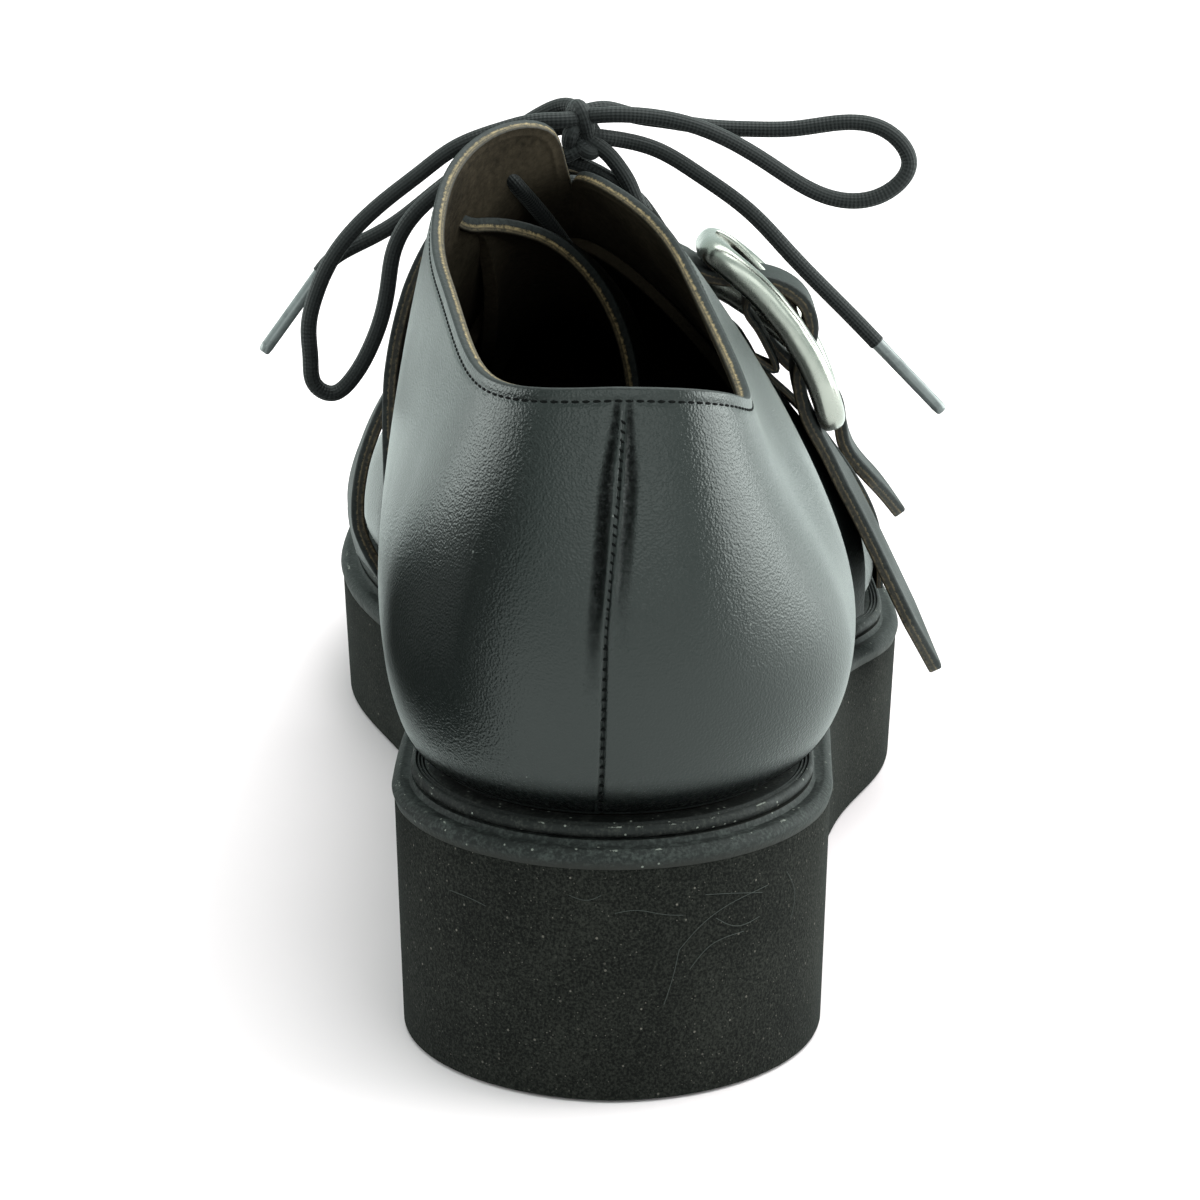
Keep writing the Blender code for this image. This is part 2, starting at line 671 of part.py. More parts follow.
def buckle(name, place, metal):
    """A rounded rectangular frame bent on its arc, with a bar across its middle."""
    turn = np.linspace(0, 2 * np.pi, BUCKLE_STEPS, endpoint=False)
    corner = np.stack([np.cos(turn), np.sin(turn)], -1)
    square = np.sign(corner) * np.abs(corner) ** (2 / BUCKLE_SQUARE)
    outside = square * np.array([BUCKLE_LENGTH, BUCKLE_WIDTH]) / 2
    inside = square * np.array(BUCKLE_INNER) / 2
    rings = []
    for part, off in BUCKLE_SECTION + BUCKLE_SECTION[:1]:
        flat = outside + (inside - outside) * part
        rings.append(buckle_place(place, flat[:, 0], off * BUCKLE_THICK / 2, flat[:, 1]))
    frame = piece(name, np.concatenate(rings), strips(len(rings), BUCKLE_STEPS, True), metal)
    reach = (BUCKLE_WIDTH + BUCKLE_INNER[1]) / 4
    round_bar = np.linspace(0, 2 * np.pi, BAR_SIDES, endpoint=False)
    ends = [
        buckle_place(place, np.cos(round_bar) * BAR / 2, np.sin(round_bar) * BAR / 2, aside)
        for aside in (-reach, reach)
    ]
    faces = strips(2, BAR_SIDES, True) + [tuple(range(BAR_SIDES)), tuple(range(BAR_SIDES, 2 * BAR_SIDES))]
    bar = piece(name + "_bar", np.concatenate(ends), faces, metal)
    bar.hide_render = True
    bar.display_type = "WIRE"
    join = frame.modifiers.new("bar", "BOOLEAN")
    join.operation = "UNION"
    join.solver = "EXACT"
    join.object = bar


def chape(name, turn, run, place, leather):
    """A short strap from the outer welt up to the buckle, folded round its bar."""
    rows = held_rows(turn, run, CHAPE_WIDTH, CHAPE_THICK) + woven_rows(place, CHAPE_ROUTE)
    band(name, rows, CHAPE_WIDTH, CHAPE_THICK, CHAPE_COLUMNS, leather)


def cord(name, points, thick, look, radii=None):
    """A round cord along points, as a bevelled curve with closed ends."""
    curve = bpy.data.curves.new(name, "CURVE")
    curve.dimensions = "3D"
    curve.bevel_depth = thick / 2 * MM
    curve.bevel_resolution = 2
    curve.use_fill_caps = True
    spline = curve.splines.new("POLY")
    spline.points.add(len(points) - 1)
    for i, (spot, place) in enumerate(zip(spline.points, points)):
        spot.co = (*(np.asarray(place) * MM), 1)
        spot.radius = radii[i] if radii else 1
    return shown(name, curve, look)


def knot(look):
    """A lumped egg where the lace is tied."""
    turn = np.linspace(0, 2 * np.pi, KNOT_COLUMNS, endpoint=False)[None, :]
    rise = np.linspace(-KNOT_POLE, KNOT_POLE, KNOT_ROWS)[:, None]
    lump = 1 + KNOT_LUMP * np.cos(KNOT_WRAPS * turn + KNOT_TWIST * rise)
    ring = np.stack([np.cos(turn), np.sin(turn), np.zeros_like(turn)], -1)
    egg = np.cos(rise)[..., None] * ring + np.sin(rise)[..., None] * np.array([0.0, 0.0, 1.0])
    points = np.array(KNOT) + (egg * lump[..., None]).reshape(-1, 3) * np.array(KNOT_SIZE)
    last = KNOT_COLUMNS * (KNOT_ROWS - 1)
    caps = [tuple(range(KNOT_COLUMNS)), tuple(range(last, last + KNOT_COLUMNS))]
    piece("lace_knot", points, strips(KNOT_ROWS, KNOT_COLUMNS, True) + caps, look)


def lace(cotton, tip):
    """Bars over the throat, the knot and what rises to it, two loops, and two ends with their tips."""
    pitch = CORD_PITCH * LACE
    off = QUARTER_STEP + GAP + LACE / 2
    for number, turn in enumerate(LACE_BARS, 1):
        lateral, medial = [
            [rib(side, turn, up) + off * rib_normal(side, turn, up) for up in BAR_UPS] for side in (1, -1)
        ]
        middle = (lateral[-1] + medial[-1]) / 2
        cord(f"lace_bar_{number}", through(medial[:-1] + [middle] + lateral[-2::-1], pitch), LACE, cotton)
    knot(cotton)
    for name, route in (
        ("lace_rise_lateral", RISE_LATERAL),
        ("lace_rise_medial", RISE_MEDIAL),
        ("lace_loop_lateral", LOOP_LATERAL),
        ("lace_loop_medial", LOOP_MEDIAL),
    ):
        cord(name, through(route, pitch), LACE, cotton)
    for side, route in (("lateral", END_LATERAL), ("medial", END_MEDIAL)):
        run = through(route, pitch)
        cord(f"lace_end_{side}", run, LACE, cotton)
        onward = unit(run[-1] - run[-2])
        steps = np.array([GAP, AGLET, AGLET_LENGTH - AGLET, AGLET_LENGTH])
        cord(f"aglet_{side}", run[-1] + steps[:, None] * onward, AGLET, tip, AGLET_RADII)


def clear_scene():
    for old in list(bpy.data.objects):
        bpy.data.objects.remove(old)


def build():
    clear_scene()
    foam = material("black_foam", (0.018, 0.017, 0.016), 0.85)
    rand = material("black_rand", (0.012, 0.012, 0.012), 0.4)
    calf = material("black_calf", (0.010, 0.011, 0.011), 0.35)
    flesh = material("brown_flesh", (0.060, 0.036, 0.020), 0.8)
    nickel = material("polished_nickel", (0.66, 0.63, 0.58), 0.15, 1.0)
    cotton = material("black_cord", (0.012, 0.012, 0.013), 0.7)
    tip = material("grey_tip", (0.42, 0.45, 0.47), 0.3)
    sole(foam, rand, flesh)
    upper(calf)
    tongue(calf)
    strap("strap_rear", REAR_TURN, REAR_RUN, REAR_BUCKLE, REAR_TAIL, calf)
    strap("strap_front", FRONT_TURN, FRONT_RUN, FRONT_BUCKLE, FRONT_TAIL, calf)
    for end, turn, run, place in (
        ("rear", REAR_TURN, REAR_CHAPE, REAR_BUCKLE),
        ("front", FRONT_TURN, FRONT_CHAPE, FRONT_BUCKLE),
    ):
        buckle(f"buckle_{end}", place, nickel)
        chape(f"chape_{end}", turn, run, place, calf)
        route = [buckle_place(place, along, off, 0.0) for along, off in PRONG_ROUTE]
        cord(f"prong_{end}", through(route, CORD_PITCH * PRONG), PRONG, nickel)
    lace(cotton, tip)
    shoe = bpy.data.objects.new("shoe", None)
    bpy.context.scene.collection.objects.link(shoe)
    shoe.location = (0, -SOLE_LENGTH / 2 * MM, 0)
    for made in bpy.data.objects:
        if made is not shoe:
            made.parent = shoe


build()
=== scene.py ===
"""Looks of the right shoe: a black calf laced shoe with two buckled straps on a foam wedge sole.

Sizes are millimetres in the shoe's own measure, forward from the back of the heel, and become metres in the mesh.
"""

import bmesh
import bpy
import mathutils
import numpy as np
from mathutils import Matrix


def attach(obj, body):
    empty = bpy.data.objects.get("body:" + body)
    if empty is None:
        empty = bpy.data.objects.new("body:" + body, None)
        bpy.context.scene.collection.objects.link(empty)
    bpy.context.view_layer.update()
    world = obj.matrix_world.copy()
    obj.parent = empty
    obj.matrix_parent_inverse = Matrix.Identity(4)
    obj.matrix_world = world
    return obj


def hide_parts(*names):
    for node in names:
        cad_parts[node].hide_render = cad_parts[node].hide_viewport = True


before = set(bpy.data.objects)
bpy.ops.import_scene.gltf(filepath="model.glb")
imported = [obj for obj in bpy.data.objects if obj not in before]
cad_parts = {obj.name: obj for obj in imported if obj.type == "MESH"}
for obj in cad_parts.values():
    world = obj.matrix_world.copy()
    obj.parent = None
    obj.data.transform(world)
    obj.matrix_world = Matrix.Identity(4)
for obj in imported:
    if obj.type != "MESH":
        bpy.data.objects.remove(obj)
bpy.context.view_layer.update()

# Studio: a white floor under an even white room, with soft lamps to both sides, above, and behind the camera.
# A black card to the left, seen only in reflections, gives the dark patch on the heel's inner side.
CAMERA_PLACE = (0.0, -0.836, 0.305)
CAMERA_DOWN = 18.02
CAMERA_LEFT = 0.168
CAMERA_LENS = 163.0
ROOM_TINT = (0.80, 1.0, 0.94)
LAMP_TINT = (0.92, 1.0, 0.97)
ROOM_LIGHT = 0.82
FLOOR_SIDE = 8.0
FLOOR_DROP = 0.0003
FLOOR_WHITE = (0.69, 0.69, 0.69, 1)
FLOOR_SEEN = (0.80, 0.69, 0.72, 1)


def add(tree, kind, inputs=None, **settings):
    """Adds a shader node. Each input is a constant for that socket or another node's output to link to it."""
    made = tree.nodes.new(kind)
    for name, value in settings.items():
        setattr(made, name, value)
    for key, value in (inputs or {}).items():
        if isinstance(value, bpy.types.NodeSocket):
            tree.links.new(value, made.inputs[key])
        else:
            made.inputs[key].default_value = value
    return made


def finish_of(name, **sockets):
    """A new material with one Principled shader; the sockets given are constants. Returns material, tree, shader."""
    made = bpy.data.materials.new(name)
    made.use_nodes = True
    shader = made.node_tree.nodes["Principled BSDF"]
    for socket, value in sockets.items():
        shader.inputs[socket.replace("_", " ")].default_value = value
    return made, made.node_tree, shader


def feed(tree, shader, **outputs):
    """Links each output to the shader's socket of that name."""
    for socket, output in outputs.items():
        tree.links.new(output, shader.inputs[socket.replace("_", " ")])


def blend(tree, share, one, other):
    """Output of a colour mix: one at share 0, the other at share 1."""
    return add(tree, "ShaderNodeMix", {0: share, 6: one, 7: other}, data_type="RGBA").outputs[2]


camera_data = bpy.data.cameras.new("camera")
camera_data.lens = CAMERA_LENS
camera_data.clip_end = 50.0
camera = bpy.data.objects.new("camera", camera_data)
camera.location = CAMERA_PLACE
camera.rotation_euler = (np.radians(90 - CAMERA_DOWN), 0, np.radians(CAMERA_LEFT))
bpy.context.scene.collection.objects.link(camera)
bpy.context.scene.camera = camera
bpy.context.scene.view_settings.view_transform = "Standard"

LAMPS = (
    # name, place, aim, size across and up, watts
    ("lamp_left", (-1.2, 0.15, 0.27), (0, -0.05, 0.06), (1.3, 0.46), 8.2),
    ("lamp_right", (1.15, 0.15, 0.32), (0, -0.05, 0.06), (1.3, 0.56), 15.0),
    ("lamp_back", (0.25, -2.2, 0.80), (0, -0.12, 0.1), (3.0, 0.8), 13.0),
    ("lamp_top", (0.42, 0.25, 1.5), (0, 0, 0), (1.7, 1.7), 45.0),
)


def aimed(place, aim):
    """Rotation that points an object's -Z axis from its place to its aim."""
    way = np.subtract(aim, place)
    return mathutils.Vector(way).to_track_quat("-Z", "Y").to_euler()


for lamp_name, place, aim, size, watts in LAMPS:
    lamp_data = bpy.data.lights.new(lamp_name, "AREA")
    lamp_data.shape = "RECTANGLE"
    lamp_data.size, lamp_data.size_y = size
    lamp_data.energy = watts
    lamp_data.color = LAMP_TINT
    lamp = bpy.data.objects.new(lamp_name, lamp_data)
    lamp.location = place
    lamp.rotation_euler = aimed(place, aim)
    lamp.visible_camera = False
    bpy.context.scene.collection.objects.link(lamp)

world = bpy.data.worlds.new("room")
world.use_nodes = True
world.node_tree.nodes["Background"].inputs["Color"].default_value = (*ROOM_TINT, 1)
world.node_tree.nodes["Background"].inputs["Strength"].default_value = ROOM_LIGHT
bpy.context.scene.world = world


def card(name, corners, look):
    """A flat stage card from its corners, in metres."""
    mesh = bpy.data.meshes.new(name)
    mesh.from_pydata(corners, [], [tuple(range(len(corners)))])
    mesh.materials.append(look)
    made = bpy.data.objects.new(name, mesh)
    bpy.context.scene.collection.objects.link(made)
    return made


floor_paint, tree, shader = finish_of("floor_paint", Roughness=0.9, Specular_IOR_Level=0.0)
seen = add(tree, "ShaderNodeLightPath").outputs["Is Camera Ray"]
feed(tree, shader, Base_Color=blend(tree, seen, FLOOR_WHITE, FLOOR_SEEN))
half = FLOOR_SIDE / 2
floor_corners = ((-half, -half), (half, -half), (half, half), (-half, half))
card("floor", [(x, y, -FLOOR_DROP) for x, y in floor_corners], floor_paint)

FLAG_ACROSS = -0.083
FLAG_SHAPE = (
    # place ahead and height over the floor
    (-0.145, 0.0),
    (0.06, 0.0),
    (0.06, 0.028),
    (0.032, 0.040),
    (-0.007, 0.058),
    (-0.071, 0.080),
    (-0.117, 0.097),
    (-0.187, 0.120),
    (-0.19, 0.110),
    (-0.165, 0.070),
)
black_card, _, _ = finish_of("black_card", Base_Color=(0.01, 0.01, 0.01, 1), Roughness=1.0)
flag = card("flag", [(FLAG_ACROSS, ahead, height) for ahead, height in FLAG_SHAPE], black_card)
flag.visible_camera = False
flag.visible_shadow = False
flag.visible_diffuse = False

# Outsole: a wedge sawn from a sheet of fine-celled black foam and ground to the outline of the last.
# Its side is straight with a slight taper, its lower edge is eased, and the tread has a fine ribbing.
MM = 0.001
SOLE_LENGTH = 256.0
BALL_WIDTH = 93.0
HEEL_FOAM = 34.9
BALL_FOAM = 19.8
TOE_SPRING = 8.0
FLAT_END = 0.66
GAP = 0.3
FOAM_INSET = 0.4
FOAM_TAPER = 1.0
FOAM_EDGE = 0.4
FOAM_EASE = 0.25
FOAM_LIP = 0.1
HEEL_ROUND = 0.13
TOE_ROUND = 0.79
TOE_POWER = 2.3
SOLE_TURNS = 181
WELD = 2e-6
SHARP_EDGE = 50.0
OUTLINE_COLUMNS = ("station", "axis", "medial", "lateral")
OUTLINE = np.array(
    (
        (0.00, -0.004, 0.344, 0.344),
        (0.13, -0.004, 0.344, 0.344),
        (0.24, -0.003, 0.336, 0.350),
        (0.36, -0.002, 0.322, 0.364),
        (0.47, 0.000, 0.342, 0.420),
        (0.54, 0.000, 0.374, 0.488),
        (0.61, -0.006, 0.432, 0.512),
        (0.70, -0.020, 0.484, 0.494),
        (0.79, -0.036, 0.460, 0.450),
        (0.90, -0.058, 0.400, 0.392),
        (1.00, -0.072, 0.350, 0.345),
    )
)
SEAT_COLUMNS = ("station", "fall", "spring")
SEAT = np.array(
    (
        (0.00, 0.00, 0.0),
        (0.15, 0.04, 0.0),
        (0.33, 0.36, 0.0),
        (0.48, 0.76, 0.0),
        (0.60, 0.97, 0.0),
        (0.70, 1.00, 0.08),
        (0.82, 1.00, 0.36),
        (1.00, 1.00, 1.0),
    )
)


def smooth(knots, values, at):
    """Natural cubic spline: the curve of least bending through values at knots, read at any places."""
    step = np.diff(knots)
    slope = np.diff(values) / step
    system = np.diag(np.r_[1, 2 * (step[:-1] + step[1:]), 1])
    system += np.diag(np.r_[0, step[1:]], 1) + np.diag(np.r_[step[:-1], 0], -1)
    bend = np.linalg.solve(system, np.r_[0, 6 * np.diff(slope), 0])
    i = np.clip(np.searchsorted(knots, at) - 1, 0, len(knots) - 2)
    u = at - knots[i]
    rise = slope[i] - step[i] * (2 * bend[i] + bend[i + 1]) / 6
    return values[i] + u * (rise + u * (bend[i] / 2 + u * (bend[i + 1] - bend[i]) / (6 * step[i])))


def column(table, names, name, at):
    """One column of a table, smooth between its rows; the first column holds the places."""
    return smooth(table[:, 0], table[:, names.index(name)], np.asarray(at, float))


def unit(vectors):
    """Vectors divided by their lengths."""
    return vectors / np.maximum(np.linalg.norm(vectors, axis=-1, keepdims=True), 1e-12)


def ease(low, high, at):
    """Smooth step: 0 below low, 1 above high, an S-shaped cubic between."""
    t = np.clip((at - low) / (high - low), 0, 1)
    return t * t * (3 - 2 * t)


def foam_top(ahead):
    """Height of the foam's upper face: falls from heel to ball, then rises with the toe's spring."""
    station = np.clip(ahead / SOLE_LENGTH, 0, 1)
    fall = column(SEAT, SEAT_COLUMNS, "fall", station)
    spring = column(SEAT, SEAT_COLUMNS, "spring", station)
    return HEEL_FOAM - (HEEL_FOAM - BALL_FOAM) * fall + TOE_SPRING * spring


def foam_bottom(ahead):
    """Height of the tread: flat from heel to ball, then a parabola up to the toe."""
    past = np.clip(ahead / SOLE_LENGTH - FLAT_END, 0, None) / (1 - FLAT_END)
    return TOE_SPRING * past**2


def outline(side, turn):
    """Edge of the midsole in plan, on one side (-1 inner, +1 outer): half widths from the table, rounded by a
    circle at the heel and a superellipse at the toe. turn runs from heel (0) to toe (1) on a cosine."""
    station = (1 - np.cos(np.pi * np.asarray(turn, float))) / 2
    half_width = column(OUTLINE, OUTLINE_COLUMNS, "lateral" if side > 0 else "medial", station)
    heel = np.sqrt(1 - np.clip(1 - station / HEEL_ROUND, 0, 1) ** 2)
    past = np.clip((station - TOE_ROUND) / (1 - TOE_ROUND), 0, 1)
    toe = (1 - past**TOE_POWER) ** (1 / TOE_POWER)
    axis = column(OUTLINE, OUTLINE_COLUMNS, "axis", station)
    return np.stack([BALL_WIDTH * (axis + side * half_width * heel * toe), station * SOLE_LENGTH], -1)


def edge_normal(side, turn):
    """Outward direction of the outline in plan, square to a small step along it."""
    turn = np.asarray(turn, float)
    small = 1e-4
    along = outline(side, np.clip(turn + small, 0, 1)) - outline(side, np.clip(turn - small, 0, 1))
    normal = np.stack([along[..., 1], -along[..., 0]], -1) * side
    normal = np.where((turn <= 0)[..., None], [0.0, -1.0], normal)
    normal = np.where((turn >= 1)[..., None], [0.0, 1.0], normal)
    return unit(normal)


def edge(side, turn, set_in):
    """The outline moved inward by set_in."""
    return outline(side, turn) - np.asarray(set_in)[..., None] * edge_normal(side, turn)


def metres(points):
    """Points of the shoe's own measure in the frame, in metres."""
    return (np.asarray(points) - [0, SOLE_LENGTH / 2, 0]) * MM


def spans(grid):
    """Lengths over a grid, in mm: along its columns' direction and along its rows' direction, as a UV grid."""
    across = np.linalg.norm(np.diff(grid, axis=1), axis=-1)
    along = np.linalg.norm(np.diff(grid, axis=0), axis=-1)
    u = np.concatenate([np.zeros((len(grid), 1)), np.cumsum(across, 1)], 1)
    v = np.concatenate([np.zeros((1, grid.shape[1])), np.cumsum(along, 0)], 0)
    return np.stack([u, v], -1)


def piece(name, patches, looks):
    """Mesh object from patches (grid of points in mm, UV grid, number of its look), welded where their edges meet,
    with faces turned outwards. The object sits at the origin and rides on the shoe."""
    starts = np.cumsum([0] + [grid[..., 0].size for grid, _, _ in patches])
    points = np.concatenate([grid.reshape(-1, 3) for grid, _, _ in patches])
    uvs = np.concatenate([uv.reshape(-1, 2) for _, uv, _ in patches])
    corners = []
    slots = []
    for start, (grid, _, look) in zip(starts, patches):
        index = start + np.arange(grid[..., 0].size).reshape(grid.shape[:2])
        quads = np.stack([index[:-1, :-1], index[:-1, 1:], index[1:, 1:], index[1:, :-1]], -1).reshape(-1, 4)
        corners.append(quads)
        slots.append(np.full(len(quads), look))
    corners = np.concatenate(corners)
    mesh = bpy.data.meshes.new(name)
    mesh.from_pydata(metres(points).tolist(), [], corners.tolist())
    layer = mesh.uv_layers.new(name="surface")
    layer.data.foreach_set("uv", uvs[corners.ravel()].astype(np.float32).ravel())
    mesh.polygons.foreach_set("material_index", np.concatenate(slots).astype(np.int32))
    for look in looks:
        mesh.materials.append(look)
    welded = bmesh.new()
    welded.from_mesh(mesh)
    bmesh.ops.remove_doubles(welded, verts=welded.verts, dist=WELD)
    bmesh.ops.recalc_face_normals(welded, faces=welded.faces)
    welded.to_mesh(mesh)
    welded.free()
    mesh.shade_smooth()
    mesh.set_sharp_from_angle(angle=np.radians(SHARP_EDGE))
    made = bpy.data.objects.new(name, mesh)
    bpy.context.scene.collection.objects.link(made)
    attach(made, "root")
    return made


def sole_layer(profile, turns, columns):
    """Closed layer of the sole. profile is rows of (set in from the outline, one value or one for each turn, and
    height function), from the lower face to the upper. Each turn gives one section: the lower face across, up the
    outer side, back across the upper face, and down the inner side."""
    turn = np.linspace(0, 1, turns)
    sides = []
    for side in (1, -1):
        plan = np.stack([edge(side, turn, set_in) for set_in, _ in profile], 1)
        heights = np.stack([height(plan[:, i, 1]) for i, (_, height) in enumerate(profile)], 1)
        sides.append(np.concatenate([plan, heights[..., None]], -1))
    outer, inner = sides
    share = np.linspace(0, 1, columns)[None, :, None]
    lower = inner[:, :1] + (outer[:, :1] - inner[:, :1]) * share
    upper = outer[:, -1:] + (inner[:, -1:] - outer[:, -1:]) * share
    return lower, outer, upper, inner[:, ::-1]


def own_place(tree):
    """Output of a piece's own place, in metres."""
    return add(tree, "ShaderNodeTexCoord").outputs["Object"]


def maths(tree, operation, *values):
    """Output of a maths node on its values."""
    return add(tree, "ShaderNodeMath", dict(enumerate(values)), operation=operation).outputs[0]


def noise(tree, place, scale, detail, roughness=0.5):
    """Output of a noise with scale waves in a metre and finer octaves up to detail."""
    inputs = {"Vector": place, "Scale": scale, "Detail": detail, "Roughness": roughness}
    return add(tree, "ShaderNodeTexNoise", inputs).outputs["Fac"]


def specks(tree, place, scale, size):
    """Round specks, one in each cell of a pattern: a mask of their area, and a chance of its own for each."""
    cells = add(tree, "ShaderNodeTexVoronoi", {"Vector": place, "Scale": scale})
    chance = add(tree, "ShaderNodeSeparateColor", {"Color": cells.outputs["Color"]}).outputs["Red"]
    return maths(tree, "LESS_THAN", cells.outputs["Distance"], size), chance


def remap(tree, value, low, high, to_low, to_high, **settings):
    """Output of a value carried from one range to another and held at its ends."""
    inputs = {0: value, 1: low, 2: high, 3: to_low, 4: to_high}
    return add(tree, "ShaderNodeMapRange", inputs, **settings).outputs[0]


def ramp(tree, value, *stops):
    """Output of a colour ramp through its stops, each a share and a colour."""
    made = add(tree, "ShaderNodeValToRGB", {"Fac": value})
    for _ in stops[2:]:
        made.color_ramp.elements.new(0.5)
    for stop, (share, shade) in zip(made.color_ramp.elements, stops):
        stop.position = share
        stop.color = shade
    return made.outputs["Color"]


def bump(tree, shader, height, strength, depth):
    """Lets a height bend the shader's normals, to a depth in metres."""
    made = add(tree, "ShaderNodeBump", {"Height": height, "Strength": strength, "Distance": depth})
    feed(tree, shader, Normal=made.outputs["Normal"])


FOAM_SPECKS = (
    # cells in a metre, size of a speck in its cell, share of the cells left bare
    (800.0, 0.15, 0.80),
    (2300.0, 0.20, 0.86),
)
foam, tree, shader = finish_of("black_foam", Roughness=0.95, Specular_IOR_Level=0.12)
place = own_place(tree)
blotch = remap(tree, noise(tree, place, 55.0, 4.0, 0.6), 0.3, 0.75, -0.05, 0.05)
grit = maths(tree, "ADD", noise(tree, place, 2400.0, 3.0, 0.75), blotch)
tone = ramp(tree, grit, (0.40, (0.0040, 0.0040, 0.0035, 1)), (0.68, (0.0248, 0.0240, 0.0208, 1)))
marks = []
for scale, size, bare in FOAM_SPECKS:
    near_speck, chance = specks(tree, place, scale, size)
    marks.append(maths(tree, "MULTIPLY", near_speck, remap(tree, chance, bare, 1.0, 0.0, 0.8)))
feed(tree, shader, Base_Color=blend(tree, maths(tree, "MAXIMUM", *marks), tone, (0.15, 0.13, 0.115, 1)))
cells = add(tree, "ShaderNodeTexVoronoi", {"Vector": place, "Scale": 2600.0})
bump(tree, shader, cells.outputs["Distance"], 0.55, 0.00012)

tread, tree, shader = finish_of("foam_tread", Base_Color=(0.014, 0.0136, 0.013, 1), Roughness=0.85)
ribbing = {"Vector": own_place(tree), "Scale": 62.0, "Distortion": 0.6}
ribs = add(tree, "ShaderNodeTexWave", ribbing, bands_direction="Y")
bump(tree, shader, ribs.outputs["Fac"], 0.8, 0.0006)


def foam_height(share):
    """Height at a share of the foam's thickness, as a function of the place ahead."""
    return lambda y: foam_bottom(y) + share * (foam_top(y) - foam_bottom(y))


taper = FOAM_TAPER * np.abs(edge_normal(1, np.linspace(0, 1, SOLE_TURNS))[:, 0])
foam_profile = (
    (FOAM_INSET + taper + FOAM_EDGE, foam_bottom),
    (FOAM_INSET + taper + FOAM_EASE * FOAM_EDGE, lambda y: foam_bottom(y) + FOAM_EASE * FOAM_EDGE),
    (FOAM_INSET + taper, lambda y: foam_bottom(y) + FOAM_EDGE),
    (FOAM_INSET + 0.66 * taper, foam_height(0.33)),
    (FOAM_INSET + 0.33 * taper, foam_height(0.66)),
    (FOAM_INSET, lambda y: foam_top(y) - FOAM_LIP),
    (FOAM_INSET + FOAM_LIP, foam_top),
)
foam_faces = sole_layer(foam_profile, SOLE_TURNS, 15)
outsole = piece(
    "outsole_foam",
    [(grid, spans(grid), look) for grid, look in zip(foam_faces, (1, 0, 0, 0))],
    [foam, tread],
)
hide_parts("outsole")


def lengths(line):
    """Length along a line of points, from its first point to each one."""
    return np.concatenate([[0], np.cumsum(np.linalg.norm(np.diff(line, axis=0), axis=1))])


def path_through(points, count):
    """A smooth curve through points, read at count places of even length."""
    points = np.asarray(points, float)
    knots = lengths(points)
    at = np.linspace(0, knots[-1], count)
    return np.stack([smooth(knots, points[:, i], at) for i in range(points.shape[1])], -1)


def tube(line, radius, sides=16, reference=(0.0, 1.0, 0.0)):
    """A round tube on a line of points: at each one a circle in the plane square to the line, closed at both ends by
    a point. radius may change along it. UV: length along in mm, share of a turn."""
    radius = np.broadcast_to(radius, len(line))
    along = unit(np.gradient(line, axis=0))
    right = unit(np.cross(along, np.asarray(reference)))
    rise = np.cross(right, along)
    turn = np.linspace(0, 2 * np.pi, sides + 1)
    circle = np.cos(turn)[None, :, None] * right[:, None] + np.sin(turn)[None, :, None] * rise[:, None]
    grid = line[:, None] + radius[:, None, None] * circle
    ends = [np.repeat(line[i : i + 1, None], sides + 1, 1) for i in (0, len(line) - 1)]
    grid = np.concatenate([ends[0], grid, ends[1]])
    length = np.pad(lengths(line), 1, mode="edge")
    return grid, np.stack(np.broadcast_arrays(length[:, None], turn[None, :] / (2 * np.pi)), -1)


HAIR = 0.045
HAIR_OUT = 0.02
BACK_TURN = 0.16
HAIRS = (
    # lines of light scratches over the back of the heel: place across and height
    ((0.0, 28.5), (3.0, 28.9), (6.5, 28.1), (9.6, 27.6)),
    ((12.7, 30.2), (16.4, 29.6), (20.8, 28.4)),
    ((9.0, 22.4), (12.0, 25.6), (16.0, 28.0), (21.6, 29.2)),
    ((9.0, 22.4), (8.2, 18.6), (6.9, 14.4)),
    ((-23.4, 28.0), (-20.6, 27.9), (-18.2, 27.4)),
    ((14.2, 26.4), (17.6, 24.4), (20.4, 24.9)),
    ((10.6, 19.4), (13.8, 22.6), (18.2, 23.4)),
    ((-6.4, 31.0), (-3.8, 30.4), (-1.9, 31.2)),
    ((24.4, 30.0), (25.6, 26.0), (25.0, 22.4)),
)
pale_hair, _, _ = finish_of("pale_scratch", Base_Color=(0.034, 0.036, 0.033, 1), Roughness=0.9)
back_turn = np.linspace(0, BACK_TURN, 80)
back_plan = np.concatenate([edge(-1, back_turn[::-1], FOAM_INSET), edge(1, back_turn, FOAM_INSET)])
hair_patches = []
for route in HAIRS:
    route = path_through(route, 40)
    behind = np.interp(route[:, 0], back_plan[:, 0], back_plan[:, 1])
    hair_line = np.column_stack([route[:, 0], behind - HAIR_OUT, route[:, 1]])
    hair_patches.append((*tube(hair_line, HAIR, 6), 0))
hairs = piece("outsole_scratches", hair_patches, [pale_hair])
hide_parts("outsole")

# Midsole: a thin black runner glued over the foam and ground flush with it, its edge inked and burnished.
# It shows as the pale band round the shoe that fades into the foam, with pale streaks along its upper edge that are a
# painted highlight.
MIDSOLE = 3.2
MIDSOLE_PROFILE = (
    # set in from the outline, height over its lower face
    (0.46, -0.28),
    (0.38, 0.0),
    (0.2, 0.5),
    (0.05, 1.0),
    (0.0, 1.3),
    (0.2, 1.7),
    (0.55, 2.1),
    (0.95, 2.45),
    (1.35, 2.55),
    (2.5, 2.45),
    (2.75, 2.7),
    (2.95, 3.2),
)


def midsole_bottom(ahead):
    """Height of the midsole's lower face, a small gap over the foam."""
    return foam_top(ahead) + GAP


def seat(ahead):
    """Height of the midsole's upper face."""
    return midsole_bottom(ahead) + MIDSOLE


